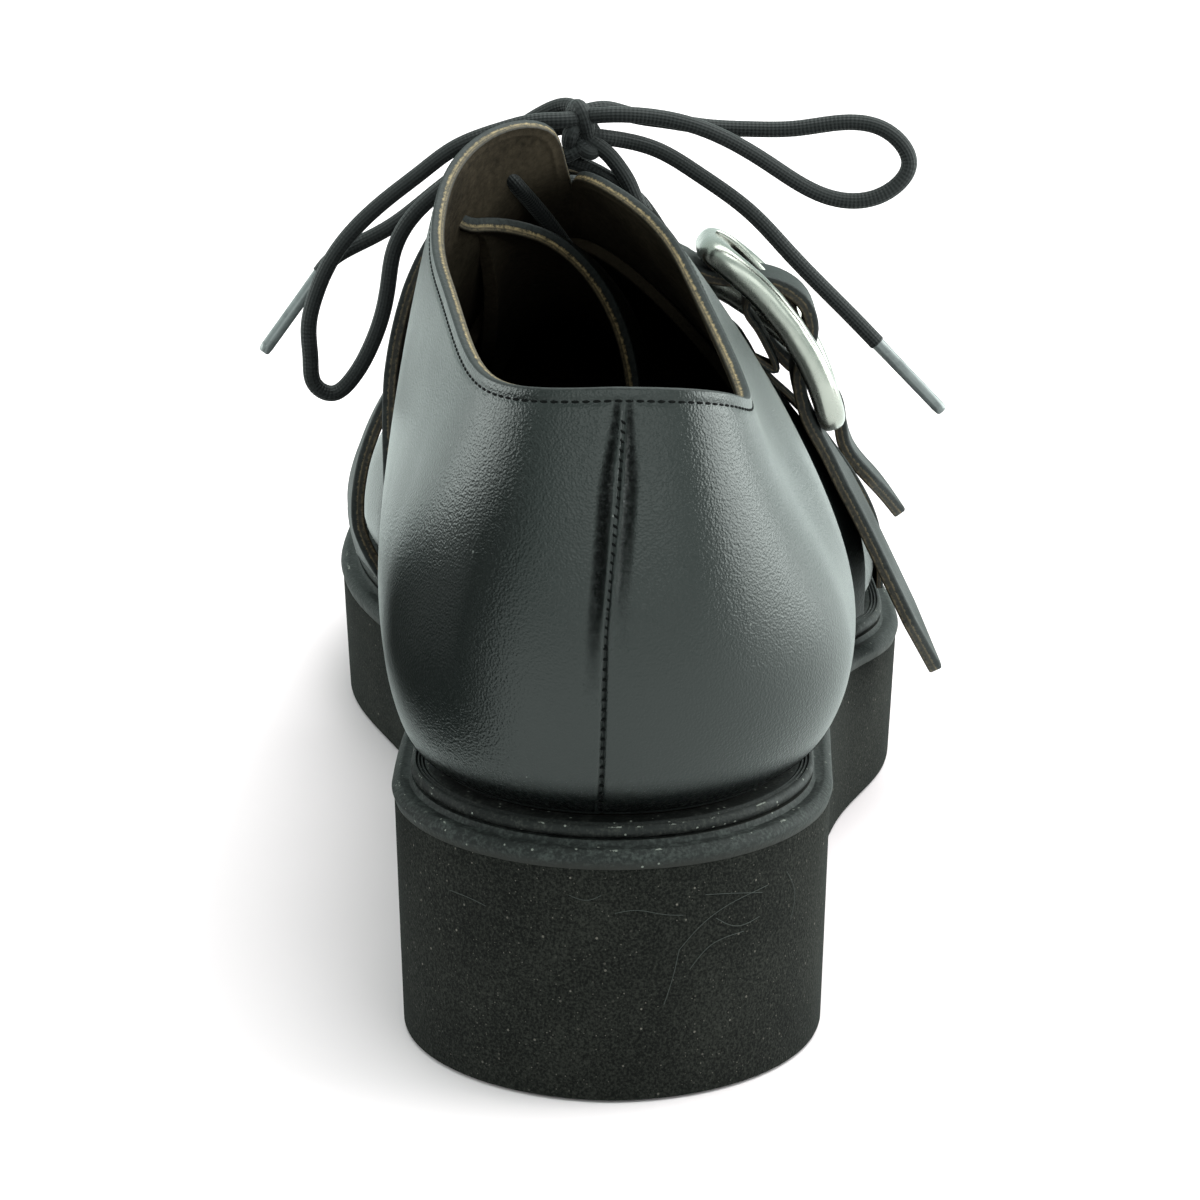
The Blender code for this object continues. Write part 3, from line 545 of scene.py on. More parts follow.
def surface_place(tree):
    """Outputs of the two measures of a piece's UV map."""
    uv = add(tree, "ShaderNodeUVMap", uv_map="surface").outputs["UV"]
    parts = add(tree, "ShaderNodeSeparateXYZ", {"Vector": uv})
    return parts.outputs["X"], parts.outputs["Y"]


def inked_edge(name, dark, pale, low, high, share, fade, pale_rim, flecked):
    """An inked edge, patchy pale in places: dark and pale colours, roughness between low and high, pale above a share
    of a streaky noise. The pale tone comes in over the lengths fade across the edge, pale streaks lie along its rim
    over the lengths pale_rim (a painted highlight on the runner's top edge), and it is flecked above a share of its
    cells."""
    made, tree, shader = finish_of(name, Specular_IOR_Level=0.28)
    across, _ = surface_place(tree)
    place = own_place(tree)
    streaks = noise(tree, place, 420.0, 5.0, 0.7)
    fine = noise(tree, place, 1900.0, 2.0, 0.6)
    mixed = add(tree, "ShaderNodeMix", {0: 0.5, 2: streaks, 3: fine}).outputs[0]
    tone = ramp(tree, mixed, (share, dark), (share + 0.22, pale))
    faded = blend(tree, remap(tree, across, *fade, 0.0, 1.0), (0.013, 0.0115, 0.010, 1), tone)
    small, chance = specks(tree, place, 1300.0, 0.24)
    flecks = maths(tree, "MULTIPLY", small, maths(tree, "GREATER_THAN", chance, flecked))
    off_rim = maths(tree, "ABSOLUTE", maths(tree, "SUBTRACT", across, (pale_rim[0] + pale_rim[1]) / 2))
    on_rim = maths(tree, "LESS_THAN", off_rim, (pale_rim[1] - pale_rim[0]) / 2)
    # Pale streaks along the rim: on the runner they are a painted highlight of its top edge, on the welt pale streaks
    # at its outer top edge.
    patchy = maths(tree, "MULTIPLY", on_rim, maths(tree, "GREATER_THAN", streaks, 0.62))
    light = maths(tree, "MAXIMUM", flecks, patchy)
    colour = blend(tree, light, faded, (0.15, 0.15, 0.135, 1))
    feed(tree, shader, Base_Color=colour, Roughness=remap(tree, streaks, 0.3, 0.7, low, high))
    bump(tree, shader, mixed, 0.5, 0.0003)
    return made


# The runner's pale rim streaks are a painted highlight of its top edge.
runner = inked_edge(
    "inked_runner",
    dark=(0.0060, 0.0066, 0.0062, 1),
    pale=(0.044, 0.048, 0.0450, 1),
    low=0.55,
    high=0.78,
    share=0.47,
    fade=(0.2, 1.5),
    pale_rim=(3.0, 3.35),
    flecked=0.97,
)
midsole_profile = [(set_in, lambda y, rise=rise: midsole_bottom(y) + rise) for set_in, rise in MIDSOLE_PROFILE]
lower, outer, upper_face, inner = sole_layer(midsole_profile, SOLE_TURNS, 9)
midsole = piece(
    "midsole_runner",
    [(grid, spans(grid), 0) for grid in (lower, outer, upper_face)] + [(inner, spans(inner[:, ::-1])[:, ::-1], 0)],
    [runner],
)
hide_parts("midsole")

# Welt: a narrow strip of leather laid round the foot of the upper, on the midsole.
# Its edge is inked black, and its upper face is wheeled with fine ridges.
WELT = 1.8
WELT_SET_IN = 2.8
WELT_INNER = 7.4
WELT_PROFILE = (
    # set in from the outline, share of the welt's height
    (WELT_INNER, 0.0),
    (WELT_SET_IN + 0.5, 0.0),
    (WELT_SET_IN + 0.1, 0.18),
    (WELT_SET_IN, 0.45),
    (WELT_SET_IN + 0.12, 0.72),
    (WELT_SET_IN + 0.4, 0.93),
    (WELT_SET_IN + 0.7, 1.0),
    (WELT_SET_IN + 0.95, 0.86),
    (WELT_SET_IN + 1.2, 1.0),
    (WELT_SET_IN + 1.45, 0.86),
    (WELT_SET_IN + 1.7, 1.0),
    (WELT_SET_IN + 2.0, 0.88),
    (WELT_SET_IN + 2.3, 1.0),
    (WELT_INNER, 1.0),
    (WELT_INNER, 0.0),
)


def welt_bottom(ahead):
    """Height of the welt's lower face, a small gap over the midsole."""
    return seat(ahead) + GAP


def welt_top(ahead):
    """Height of the welt's upper face."""
    return welt_bottom(ahead) + WELT


def ring(profile, height, turns):
    """A profile carried all round the outline: rows of (set in, share of height over the seat)."""
    turn = np.linspace(0, 1, turns)
    loops = []
    for set_in, share in profile:
        plan = np.concatenate([edge(1, turn, set_in), edge(-1, turn[::-1], set_in)])
        loops.append(np.column_stack([plan, welt_bottom(plan[:, 1]) + share * height]))
    return np.stack(loops, 1)


welt_grid = ring(WELT_PROFILE, WELT, SOLE_TURNS)
inked_welt = inked_edge(
    "inked_welt",
    dark=(0.0024, 0.0026, 0.0024, 1),
    pale=(0.034, 0.033, 0.029, 1),
    low=0.5,
    high=0.75,
    share=0.50,
    fade=(-1.0, 0.0),
    pale_rim=(5.9, 6.1),
    flecked=0.88,
)
welt = piece("welt_strip", [(welt_grid, spans(welt_grid), 0)], [inked_welt])
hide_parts("welt")

# Insole: a thin leather sole laid inside the upper, flesh side up, with its edges rounded.
# The flesh side is painted darker towards the bottom of the shoe: painted shade inside it.
INSOLE = 2.4
INSOLE_SET_IN = 9.4
INSOLE_EDGE = 0.6


def scaled(tree, colour, by):
    """Output of a colour multiplied by a value."""
    return add(tree, "ShaderNodeVectorMath", {0: colour, "Scale": by}, operation="SCALE").outputs[0]


flesh, tree, shader = finish_of("brown_flesh", Roughness=0.95, Specular_IOR_Level=0.08)
place = own_place(tree)
fibre = noise(tree, place, 900.0, 5.0, 0.7)
stained = maths(tree, "MULTIPLY_ADD", fibre, 0.6, noise(tree, place, 40.0, 3.0))
tone = ramp(tree, stained, (0.55, (0.017, 0.0125, 0.0085, 1)), (1.0, (0.078, 0.058, 0.040, 1)))
height = add(tree, "ShaderNodeSeparateXYZ", {"Vector": place}).outputs["Z"]
# Painted shade: the flesh colour is dimmed to a fifth below 74 mm and comes up to full at 101 mm.
feed(tree, shader, Base_Color=scaled(tree, tone, remap(tree, height, 0.074, 0.101, 0.2, 1.0)))
bump(tree, shader, fibre, 0.6, 0.0002)


def rounded(set_in, radius, low, high, steps):
    """Profile of an edge rounded top and bottom: two quarter circles between the heights low and high."""
    angle = np.linspace(0, np.pi / 2, steps)
    rows = [(set_in + radius * (1 - np.sin(a)), lambda y, a=a: low(y) + radius * (1 - np.cos(a))) for a in angle]
    back = zip(rows[::-1], angle[::-1])
    return rows + [(row[0], lambda y, a=a: high(y) - radius * (1 - np.cos(a))) for row, a in back]


insole_profile = rounded(INSOLE_SET_IN, INSOLE_EDGE, welt_bottom, lambda y: welt_bottom(y) + INSOLE, 4)
insole_faces = sole_layer(insole_profile, 121, 15)
insole = piece("insole_leather", [(grid, spans(grid), 0) for grid in insole_faces], [flesh])
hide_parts("insole")

# Quarters: one piece of black calf from the outer facing round the heel to the inner facing, backed with a second
# layer of brown leather. The collar is cut raw and stitched, and the back is closed by a seam between two valleys.
# Black see-through sheets laid over them and along the foot are painted shade.
COLLAR_BACK = 102.5
UPPER_SET_IN = 5.4
QUARTER_STEP = 1.1
WALL = 2.0
RIM_ROUND = 0.4
QUARTER_FRONT = 0.50
RIDGE_BLEND = 0.03
GRAIN_DEPTH = 0.00009
RIB_COLUMNS = ("turn", "ahead", "across", "rise", "foot_out", "foot_up", "top_out", "top_down")
TOE_RIBS = (
    (0.66, 0.707, -7.0, -35.5, 7.0, 16.0, 18.0, 0.0),
    (0.78, 0.789, -6.8, -43.5, 5.5, 14.0, 14.0, 0.0),
    (0.90, 0.840, -6.7, -48.0, 5.0, 13.0, 13.0, 0.0),
    (1.00, 0.863, -6.7, -50.2, 5.0, 13.0, 13.0, 0.0),
)
LATERAL_RIBS = np.array(
    (
        (0.00, 0.035, 0.0, 0.0, 7.0, 20.0, 8.0, 26.0),
        (0.08, 0.045, 9.5, -1.0, 8.0, 20.0, 8.0, 26.0),
        (0.15, 0.074, 15.6, -4.0, 11.0, 20.0, 7.0, 24.0),
        (0.22, 0.129, 18.0, -7.9, 16.0, 20.0, 6.0, 23.0),
        (0.29, 0.203, 15.8, -6.3, 20.0, 20.0, 6.0, 22.0),
        (0.36, 0.297, 10.8, -1.5, 18.5, 20.0, 9.5, 18.0),
        (0.41, 0.367, 3.0, 4.5, 13.5, 20.0, 12.0, 14.0),
        (0.44, 0.410, -5.2, 6.5, 11.5, 20.0, 13.0, 10.0),
        (0.47, 0.469, -6.5, -1.0, 9.5, 20.0, 14.0, 5.0),
        (0.50, 0.539, -6.7, -12.5, 9.0, 19.0, 16.0, 0.0),
        (0.57, 0.621, -7.0, -25.0, 8.0, 18.0, 18.0, 0.0),
    )
    + TOE_RIBS
)
MEDIAL_RIBS = np.array(
    (
        (0.00, 0.035, 0.0, 0.0, 7.0, 20.0, 8.0, 26.0),
        (0.08, 0.043, -10.0, -0.7, 7.5, 20.0, 8.0, 26.0),
        (0.15, 0.068, -16.5, -1.2, 9.0, 20.0, 8.0, 26.0),
        (0.22, 0.121, -20.5, -0.2, 11.0, 20.0, 8.0, 26.0),
        (0.29, 0.211, -24.0, 2.5, 13.5, 20.0, 7.5, 28.0),
        (0.36, 0.313, -26.0, 7.5, 13.0, 20.0, 6.5, 28.0),
        (0.40, 0.371, -20.8, 14.2, 15.0, 20.0, 9.0, 20.0),
        (0.42, 0.395, -13.5, 15.6, 17.5, 20.0, 13.0, 12.0),
        (0.432, 0.409, -9.0, 13.0, 17.5, 20.0, 14.5, 6.5),
        (0.44, 0.420, -7.8, 8.8, 17.5, 20.0, 16.0, 3.0),
        (0.47, 0.469, -6.4, -0.8, 16.5, 20.0, 17.0, 0.0),
        (0.50, 0.539, -6.6, -12.5, 14.0, 19.0, 17.0, 0.0),
        (0.57, 0.621, -7.0, -25.0, 10.0, 18.0, 18.0, 0.0),
    )
    + TOE_RIBS
)


def upper_foot(ahead):
    """Height of the upper's foot, a small gap over the welt."""
    return welt_top(ahead) + GAP


def rib(side, turn, up):
    """Outer face of the upper: at each turn a cubic Bezier rib, from its foot on the welt (up 0) to its top on
    the collar, the facing or the ridge (up 1), with its end and control points read from the table."""
    table = LATERAL_RIBS if side > 0 else MEDIAL_RIBS
    turn, up = np.broadcast_arrays(np.asarray(turn, float), np.asarray(up, float))
    read = {name: column(table, RIB_COLUMNS, name, turn) for name in RIB_COLUMNS[1:]}
    plan = edge(side, turn, UPPER_SET_IN)
    normal = edge_normal(side, turn)
    small = 1e-3
    fall, run = [
        column(table, RIB_COLUMNS, name, turn + small) - column(table, RIB_COLUMNS, name, turn - small)
        for name in ("rise", "ahead")
    ]
    on_ridge = np.clip((turn - QUARTER_FRONT) / RIDGE_BLEND, 0, 1)
    slope = on_ridge * fall / (run * SOLE_LENGTH)
    foot = np.stack([plan[..., 0], plan[..., 1], upper_foot(plan[..., 1])], -1)
    top = np.stack([read["across"], read["ahead"] * SOLE_LENGTH, COLLAR_BACK + read["rise"]], -1)
    outward = np.stack([normal[..., 0], normal[..., 1], np.zeros_like(turn)], -1)
    ridge_out = np.stack([normal[..., 0], normal[..., 1], normal[..., 1] * slope], -1)
    upward = np.array([0.0, 0.0, 1.0])
    low = foot + outward * read["foot_out"][..., None] + upward * read["foot_up"][..., None]
    high = top + ridge_out * read["top_out"][..., None] - upward * read["top_down"][..., None]
    u = up[..., None]
    return (1 - u) ** 3 * foot + 3 * u * (1 - u) ** 2 * low + 3 * u**2 * (1 - u) * high + u**3 * top


def normals(grid):
    """Unit normals of a grid: the cross product of its central differences along columns and rows."""
    return unit(np.cross(np.gradient(grid, axis=1), np.gradient(grid, axis=0)))


def rib_normal(side, turn, up):
    """Outward direction of the upper's face, from two small steps on it."""
    small = 2e-3
    turn = np.clip(np.asarray(turn, float), small, 1 - small)
    up = np.clip(np.asarray(up, float), small, 1 - small)
    along = rib(side, turn + small, up) - rib(side, turn - small, up)
    rise = rib(side, turn, up + small) - rib(side, turn, up - small)
    return unit(np.cross(along, rise) * side)


def border(grid):
    """The edge of a grid, once round and back to its first point."""
    return np.concatenate([grid[0, :-1], grid[:-1, -1], grid[-1, :0:-1], grid[:0:-1, 0], grid[:1, 0]])


def with_border(grid, values):
    """A copy of a grid with its edge replaced, in the order that border() reads it."""
    rows, columns = np.array(grid.shape[:2]) - 1
    made = grid.copy()
    made[0, :-1] = values[:columns]
    made[:-1, -1] = values[columns : columns + rows]
    made[-1, :0:-1] = values[columns + rows : 2 * columns + rows]
    made[:0:-1, 0] = values[2 * columns + rows : 2 * (columns + rows)]
    return made


def cut_leather(outer, out, thick, rim=RIM_ROUND, bulge=6):
    """Patches of a cut sheet of leather: its grain face, its flesh face one thickness under it, and its cut edge.
    out is the unit normal of the grain face. The cut edge is square with two quarter-round corners. The edge's UV
    has the length along it in mm and the share of the thickness."""
    line = border(outer)
    line_out = border(out)
    along = unit(np.roll(line[:-1], -1, 0) - np.roll(line[:-1], 1, 0))
    along = np.concatenate([along, along[:1]])
    beyond = unit(np.cross(along, line_out))
    inside = border(np.pad(outer[1:-1, 1:-1], ((1, 1), (1, 1), (0, 0)), mode="edge"))
    beyond *= np.sign(np.sum(beyond * (line - inside), -1).mean())
    angle = np.linspace(0, np.pi / 2, bulge)
    back = rim * (1 - np.sin(angle))
    down = rim * (1 - np.cos(angle))
    back = np.concatenate([back, back[::-1]])
    down = np.concatenate([down, thick - down[::-1]])
    edge_grid = line[:, None] - back[:, None] * beyond[:, None] - down[:, None] * line_out[:, None]
    edge_uv = np.stack(np.broadcast_arrays(lengths(line)[:, None], (down / thick)[None, :]), -1)
    grain_face = with_border(outer, edge_grid[:-1, 0])
    flesh_face = with_border(outer - thick * out, edge_grid[:-1, -1])
    return [(grain_face, spans(outer), 0), (flesh_face, spans(outer), 1), (edge_grid, edge_uv, 2)]


def grain_group():
    """Calf grain: fine pebbles and pores as a height, slow waves of gloss, and specks of dust as a mask."""
    group = bpy.data.node_groups.new("calf_grain", "ShaderNodeTree")
    for name in ("Height", "Gloss", "Dust"):
        group.interface.new_socket(name, in_out="OUTPUT", socket_type="NodeSocketFloat")
    place = own_place(group)
    pebbles = add(group, "ShaderNodeTexVoronoi", {"Vector": place, "Scale": 2900.0}, feature="SMOOTH_F1")
    pores = noise(group, place, 4200.0, 1.0)
    near, chance = specks(group, place, 260.0, 0.045)
    outputs = {
        "Height": maths(group, "MULTIPLY_ADD", pores, 0.4, pebbles.outputs["Distance"]),
        "Gloss": noise(group, place, 60.0, 3.0),
        "Dust": maths(group, "MULTIPLY", near, maths(group, "GREATER_THAN", chance, 0.72)),
    }
    add(group, "NodeGroupOutput", outputs)
    return group


CALF_GRAIN = grain_group()


def calf_finish(name, base, low_gloss, high_gloss, shine):
    """Black calf: base colour with specks of dust, gloss between two roughnesses, and fine grain. shine is the
    strength of its reflection."""
    made, tree, shader = finish_of(name, Specular_IOR_Level=shine)
    grain = add(tree, "ShaderNodeGroup", node_tree=CALF_GRAIN).outputs
    dusty = blend(tree, grain["Dust"], base, (0.10, 0.10, 0.095, 1))
    gloss = remap(tree, grain["Gloss"], 0.3, 0.7, low_gloss, high_gloss)
    feed(tree, shader, Base_Color=dusty, Roughness=gloss)
    bump(tree, shader, grain["Height"], 0.8, GRAIN_DEPTH)
    return made


def edge_finish(name, bands):
    """Cut edge of leather: bands of colour over the share of the thickness, fibrous and slightly frayed."""
    made, tree, shader = finish_of(name, Roughness=0.62, Specular_IOR_Level=0.4)
    _, share = surface_place(tree)
    frayed = noise(tree, own_place(tree), 1500.0, 4.0, 0.7)
    across = maths(tree, "ADD", share, remap(tree, frayed, 0.25, 0.75, -0.09, 0.09))
    fibres = remap(tree, frayed, 0.36, 0.62, 0.2, 1.25)
    feed(tree, shader, Base_Color=scaled(tree, ramp(tree, across, *bands), fibres))
    bump(tree, shader, frayed, 0.5, 0.00015)
    return made


calf = calf_finish("black_calf", (0.0041, 0.0056, 0.0051, 1), 0.28, 0.34, 0.5)
raw_edge = edge_finish(
    "raw_edge",
    (
        (0.40, (0.011, 0.0125, 0.0125, 1)),
        (0.46, (0.003, 0.003, 0.003, 1)),
        (0.53, (0.13, 0.092, 0.046, 1)),
        (0.64, (0.25, 0.175, 0.088, 1)),
        (0.74, (0.050, 0.034, 0.018, 1)),
        (0.83, (0.110, 0.076, 0.040, 1)),
        (0.92, (0.026, 0.018, 0.011, 1)),
    ),
)
LEATHER = [calf, flesh, raw_edge]

# Back seam: places are shares of the rib's height. Ridge, split and cut are a height and a half width, and the valley
# is a depth, a distance beside the seam and a half width.
SEAM_LEAN = np.array(((0.0, -2.0), (0.5, -1.2), (1.0, 1.3)))
SEAM_FADE = (0.30, 0.62)
SEAM_TOP = (0.955, 0.985)
SEAM_ARCH = (0.80, 0.98)
SEAM_RIDGE = (0.50, 1.15)
SEAM_SPLIT = (0.55, 0.30)
SEAM_VALLEY = (0.50, 1.75, 0.9)
SEAM_OUTER_FADE = (0.40, 0.76)
SEAM_CUT = (0.55, 0.36)
FOOT_TUCK = (2.4, 0.13)
COLLAR_ROW = 1.9
ROW_SINK = (0.16, 0.42)
SEAM_CLOSE = 0.5
SEAM_REACH = (0.03, 0.12)
SEAM_SEARCH = 0.06
FAR = 99.0


def bell(at, width):
    """Bell curve: 1 in the middle, falling with the square of the distance over the width."""
    return np.exp(-((at / width) ** 2))


def seam_place(up):
    """Distance of the back seam from the heel's middle plane: it leans outward towards the collar."""
    return np.interp(up, SEAM_LEAN[:, 0], SEAM_LEAN[:, 1])


def valley_place(up):
    """Distance of the two valleys from the seam: they close in an arch under the collar."""
    return SEAM_VALLEY[1] * (1 - SEAM_CLOSE * ease(*SEAM_ARCH, up))


def quarter_face(turn, up):
    """The upper's face at signed turns: outer side positive, inner negative."""
    return np.where((turn >= 0)[..., None], rib(1, np.abs(turn), up), rib(-1, np.abs(turn), up))


def quarter_out_at(turn, up):
    """Outward direction of the quarters at signed turns."""
    size = np.abs(turn)
    return np.where((turn >= 0)[..., None], rib_normal(1, size, up), rib_normal(-1, size, up))


def below_collar(turn, up):
    """Distance down the quarter from its top edge, from the length of the topmost tenth of the rib."""
    return (1 - up) * 10 * np.linalg.norm(quarter_face(turn, 1.0) - quarter_face(turn, 0.9), axis=-1)


def foot_tuck(up):
    """How far the leather is drawn in under itself at its foot: a cubic law over the lowest part of the rib."""
    return FOOT_TUCK[0] * np.clip(1 - up / FOOT_TUCK[1], 0, 1) ** 3


def quarter_surface(turn, up):
    """Grain face of the quarters at signed turns. It is the upper's face lifted by the quarter's step. The back seam is
    a split ridge between two soft valleys, which close in an arch under the collar and fade into a plain cut below, and
    the collar's stitches lie in a shallow groove."""
    turn, up = np.broadcast_arrays(np.asarray(turn, float), np.asarray(up, float))
    face = quarter_face(turn, up)
    from_seam = np.where(np.abs(turn) < SEAM_REACH[1], face[..., 0] - seam_place(up), FAR)
    strip = ease(*SEAM_FADE, up) * (1 - ease(*SEAM_TOP, up))
    ridge = SEAM_RIDGE[0] * bell(from_seam, SEAM_RIDGE[1]) - SEAM_SPLIT[0] * bell(from_seam, SEAM_SPLIT[1])
    valley = SEAM_VALLEY[0] * bell(np.abs(from_seam) - valley_place(up), SEAM_VALLEY[2])
    valley *= np.where(from_seam > 0, ease(*SEAM_OUTER_FADE, up), 1.0)
    cut = SEAM_CUT[0] * bell(from_seam, SEAM_CUT[1]) * (1 - ease(*SEAM_FADE, up))
    row = ROW_SINK[0] * bell(below_collar(turn, up) - COLLAR_ROW, ROW_SINK[1])
    lift = QUARTER_STEP + strip * (ridge - valley) - cut - row - foot_tuck(up)
    face = face + lift[..., None] * quarter_out_at(turn, up)
    face[..., 2] = np.where(up <= 0, upper_foot(face[..., 1]), face[..., 2])
    return face


def beside_seam(aside, up):
    """Signed turns of a line beside the back seam; its distance is one value or one for each place up."""
    try_turn = np.linspace(-SEAM_SEARCH, SEAM_SEARCH, 121)
    places = quarter_surface(try_turn[None, :], up[:, None])[..., 0]
    return np.array([np.interp(aim, row, try_turn) for aim, row in zip(seam_place(up) + aside, places)])


fine = np.linspace(0, SEAM_REACH[0], 28, endpoint=False)
coarse = np.linspace(SEAM_REACH[0], QUARTER_FRONT, 130)
half_turns = np.concatenate([fine, coarse])
quarter_turns = np.concatenate([half_turns[::-1], -half_turns[1:]])
quarter_ups = np.concatenate(
    [np.linspace(0, 0.09, 10, endpoint=False), np.linspace(0.09, 0.9, 36, endpoint=False), np.linspace(0.9, 1, 24)]
)
near_seam = 1 - ease(*SEAM_REACH, np.abs(quarter_turns))
turn_grid = quarter_turns[None, :] + near_seam[None, :] * beside_seam(0.0, quarter_ups)[:, None]
up_grid = np.broadcast_to(quarter_ups[:, None], turn_grid.shape)
quarter_grid = quarter_surface(turn_grid, up_grid)
quarter_out = quarter_out_at(turn_grid, up_grid)
quarters = piece("quarters", cut_leather(quarter_grid, quarter_out, WALL), LEATHER)
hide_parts("upper")

STITCH = (1.15, 0.42, 0.30)
STITCH_PITCH = 1.5
STITCH_LIFT = 0.04
TICK = (2.3, 0.46, 0.40)
TICK_SLANT = 1.5
TICK_ASIDE = -0.2
SPLIT_TICK = (1.5, 0.36, 0.34)
SPLIT_PITCH = 1.3
SPLIT_SLANT = 1.0
UPPER_SEAM = (0.46, 0.955)
LOWER_SEAM = (0.02, 0.48)
FRONT_ROWS = (0.492, 0.484)
thread, _, _ = finish_of(
    "black_thread", Base_Color=(0.0014, 0.0016, 0.0016, 1), Roughness=0.85, Specular_IOR_Level=0.12
)


def stitch_patches(centre, along, out, size):
    """Stitches as small pillows, each an ellipsoid on its centre: long along the seam, flat against the leather."""
    aside = np.cross(out, along)
    around = np.linspace(0, 2 * np.pi, 9)
    over = np.linspace(-np.pi / 2, np.pi / 2, 6)
    x = np.sin(over)[:, None] * np.ones(9) * size[0] / 2
    y = np.cos(over)[:, None] * np.cos(around) * size[1] / 2
    z = np.cos(over)[:, None] * np.sin(around) * size[2] / 2
    uv = np.zeros((6, 9, 2))
    return [
        (c + x[..., None] * a + y[..., None] * s + z[..., None] * o, uv, 0)
        for c, a, s, o in zip(centre, along, aside, out)
    ]


def sewn(turn, up, pitch, size, slant=0.0):
    """A row of stitches of even pitch along a line of signed turns and ups on the quarters, each turned by a slant
    from the line."""
    line = quarter_surface(turn, up)
    length = lengths(line)
    at = np.arange(pitch / 2, length[-1], pitch)
    where = np.stack([np.interp(at, length, line[:, i]) for i in range(3)], -1)
    along = unit(np.stack([np.interp(at, length, np.gradient(line[:, i])) for i in range(3)], -1))
    out = quarter_out_at(np.interp(at, length, turn), np.interp(at, length, up))
    along = unit(np.cos(slant) * along + np.sin(slant) * unit(np.cross(out, along)))
    return stitch_patches(where + STITCH_LIFT * out, along, out, size)


row_up = 1 - COLLAR_ROW / below_collar(quarter_turns, np.zeros_like(quarter_turns))
upper_seam = np.linspace(*UPPER_SEAM, 60)
lower_seam = np.linspace(*LOWER_SEAM, 60)
front_up = np.linspace(0.01, 0.99, 80)
rows = sewn(quarter_turns, row_up, STITCH_PITCH, STITCH)
rows += sewn(beside_seam(0.0, upper_seam), upper_seam, SPLIT_PITCH, SPLIT_TICK, SPLIT_SLANT)
rows += sewn(beside_seam(TICK_ASIDE, lower_seam), lower_seam, STITCH_PITCH, TICK, TICK_SLANT)
for front_turn in FRONT_ROWS:
    rows += sewn(np.full(80, front_turn), front_up, STITCH_PITCH, STITCH)
    rows += sewn(np.full(80, -front_turn), front_up, STITCH_PITCH, STITCH)
stitching = piece("quarter_stitching", rows, [thread])
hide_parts("upper")

# Painted shade: black sheets, clear at their edges and in patches, laid just over the two valleys beside the back seam
# and along the foot of the quarters.
painted_shade, tree, shader = finish_of(
    "black_painted_shade", Base_Color=(0.0012, 0.0014, 0.0014, 1), Roughness=0.8, Specular_IOR_Level=0.1
)
across, strength = surface_place(tree)
thin = remap(tree, maths(tree, "ABSOLUTE", across), 0.1, 1.0, 1.0, 0.0, interpolation_type="SMOOTHSTEP")
patchy = remap(tree, noise(tree, own_place(tree), 1300.0, 3.0, 0.7), 0.3, 0.6, 0.35, 1.0)
feed(tree, shader, Alpha=maths(tree, "MULTIPLY", maths(tree, "MULTIPLY", thin, patchy), strength))

VALLEY_SHADE = (
    # side of the seam, half width, ups where it starts and is full, strength
    (-1, 1.35, 0.32, 0.66, 0.92),
    (1, 1.35, 0.46, 0.80, 0.85),
)
FOOT_SHADE = (0.006, 0.122)
FOOT_SHADE_TURN = 0.46
FOOT_SHADE_STRENGTH = 0.94
SHADE_OFF = 0.1
SHADE_CLOSE = 0.45
shade_patches = []
for side, half_width, first, full, strength in VALLEY_SHADE:
    up = np.linspace(first, SEAM_TOP[1], 60)
    share = np.linspace(-1, 1, 13)
    aside = side * valley_place(up)
    reach = half_width * (1 - SHADE_CLOSE * ease(*SEAM_ARCH, up))
    turn = np.stack([beside_seam(aside + reach * s, up) for s in share], 1)
    up = np.broadcast_to(up[:, None], turn.shape)
    sheet = quarter_surface(turn, up) + SHADE_OFF * quarter_out_at(turn, up)
    amount = strength * ease(first, full, up) * (1 - ease(*SEAM_TOP, up))
    cover_uv = np.stack(np.broadcast_arrays(share[None, :], amount), -1)
    shade_patches.append((sheet, cover_uv, 0))
# the painted shade along the foot of the quarters
foot_turn = np.linspace(-FOOT_SHADE_TURN, FOOT_SHADE_TURN, 161)[None, :]
foot_up = np.linspace(*FOOT_SHADE, 14)[:, None]
foot_turn, foot_up = np.broadcast_arrays(foot_turn, foot_up)
sheet = quarter_surface(foot_turn, foot_up) + SHADE_OFF * quarter_out_at(foot_turn, foot_up)
rise = (foot_up - FOOT_SHADE[0]) / (FOOT_SHADE[1] - FOOT_SHADE[0])
shade_patches.append((sheet, np.stack([rise, np.full(rise.shape, FOOT_SHADE_STRENGTH)], -1), 0))
shade_sheets = piece("quarter_painted_shade", shade_patches, [painted_shade])
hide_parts("upper")

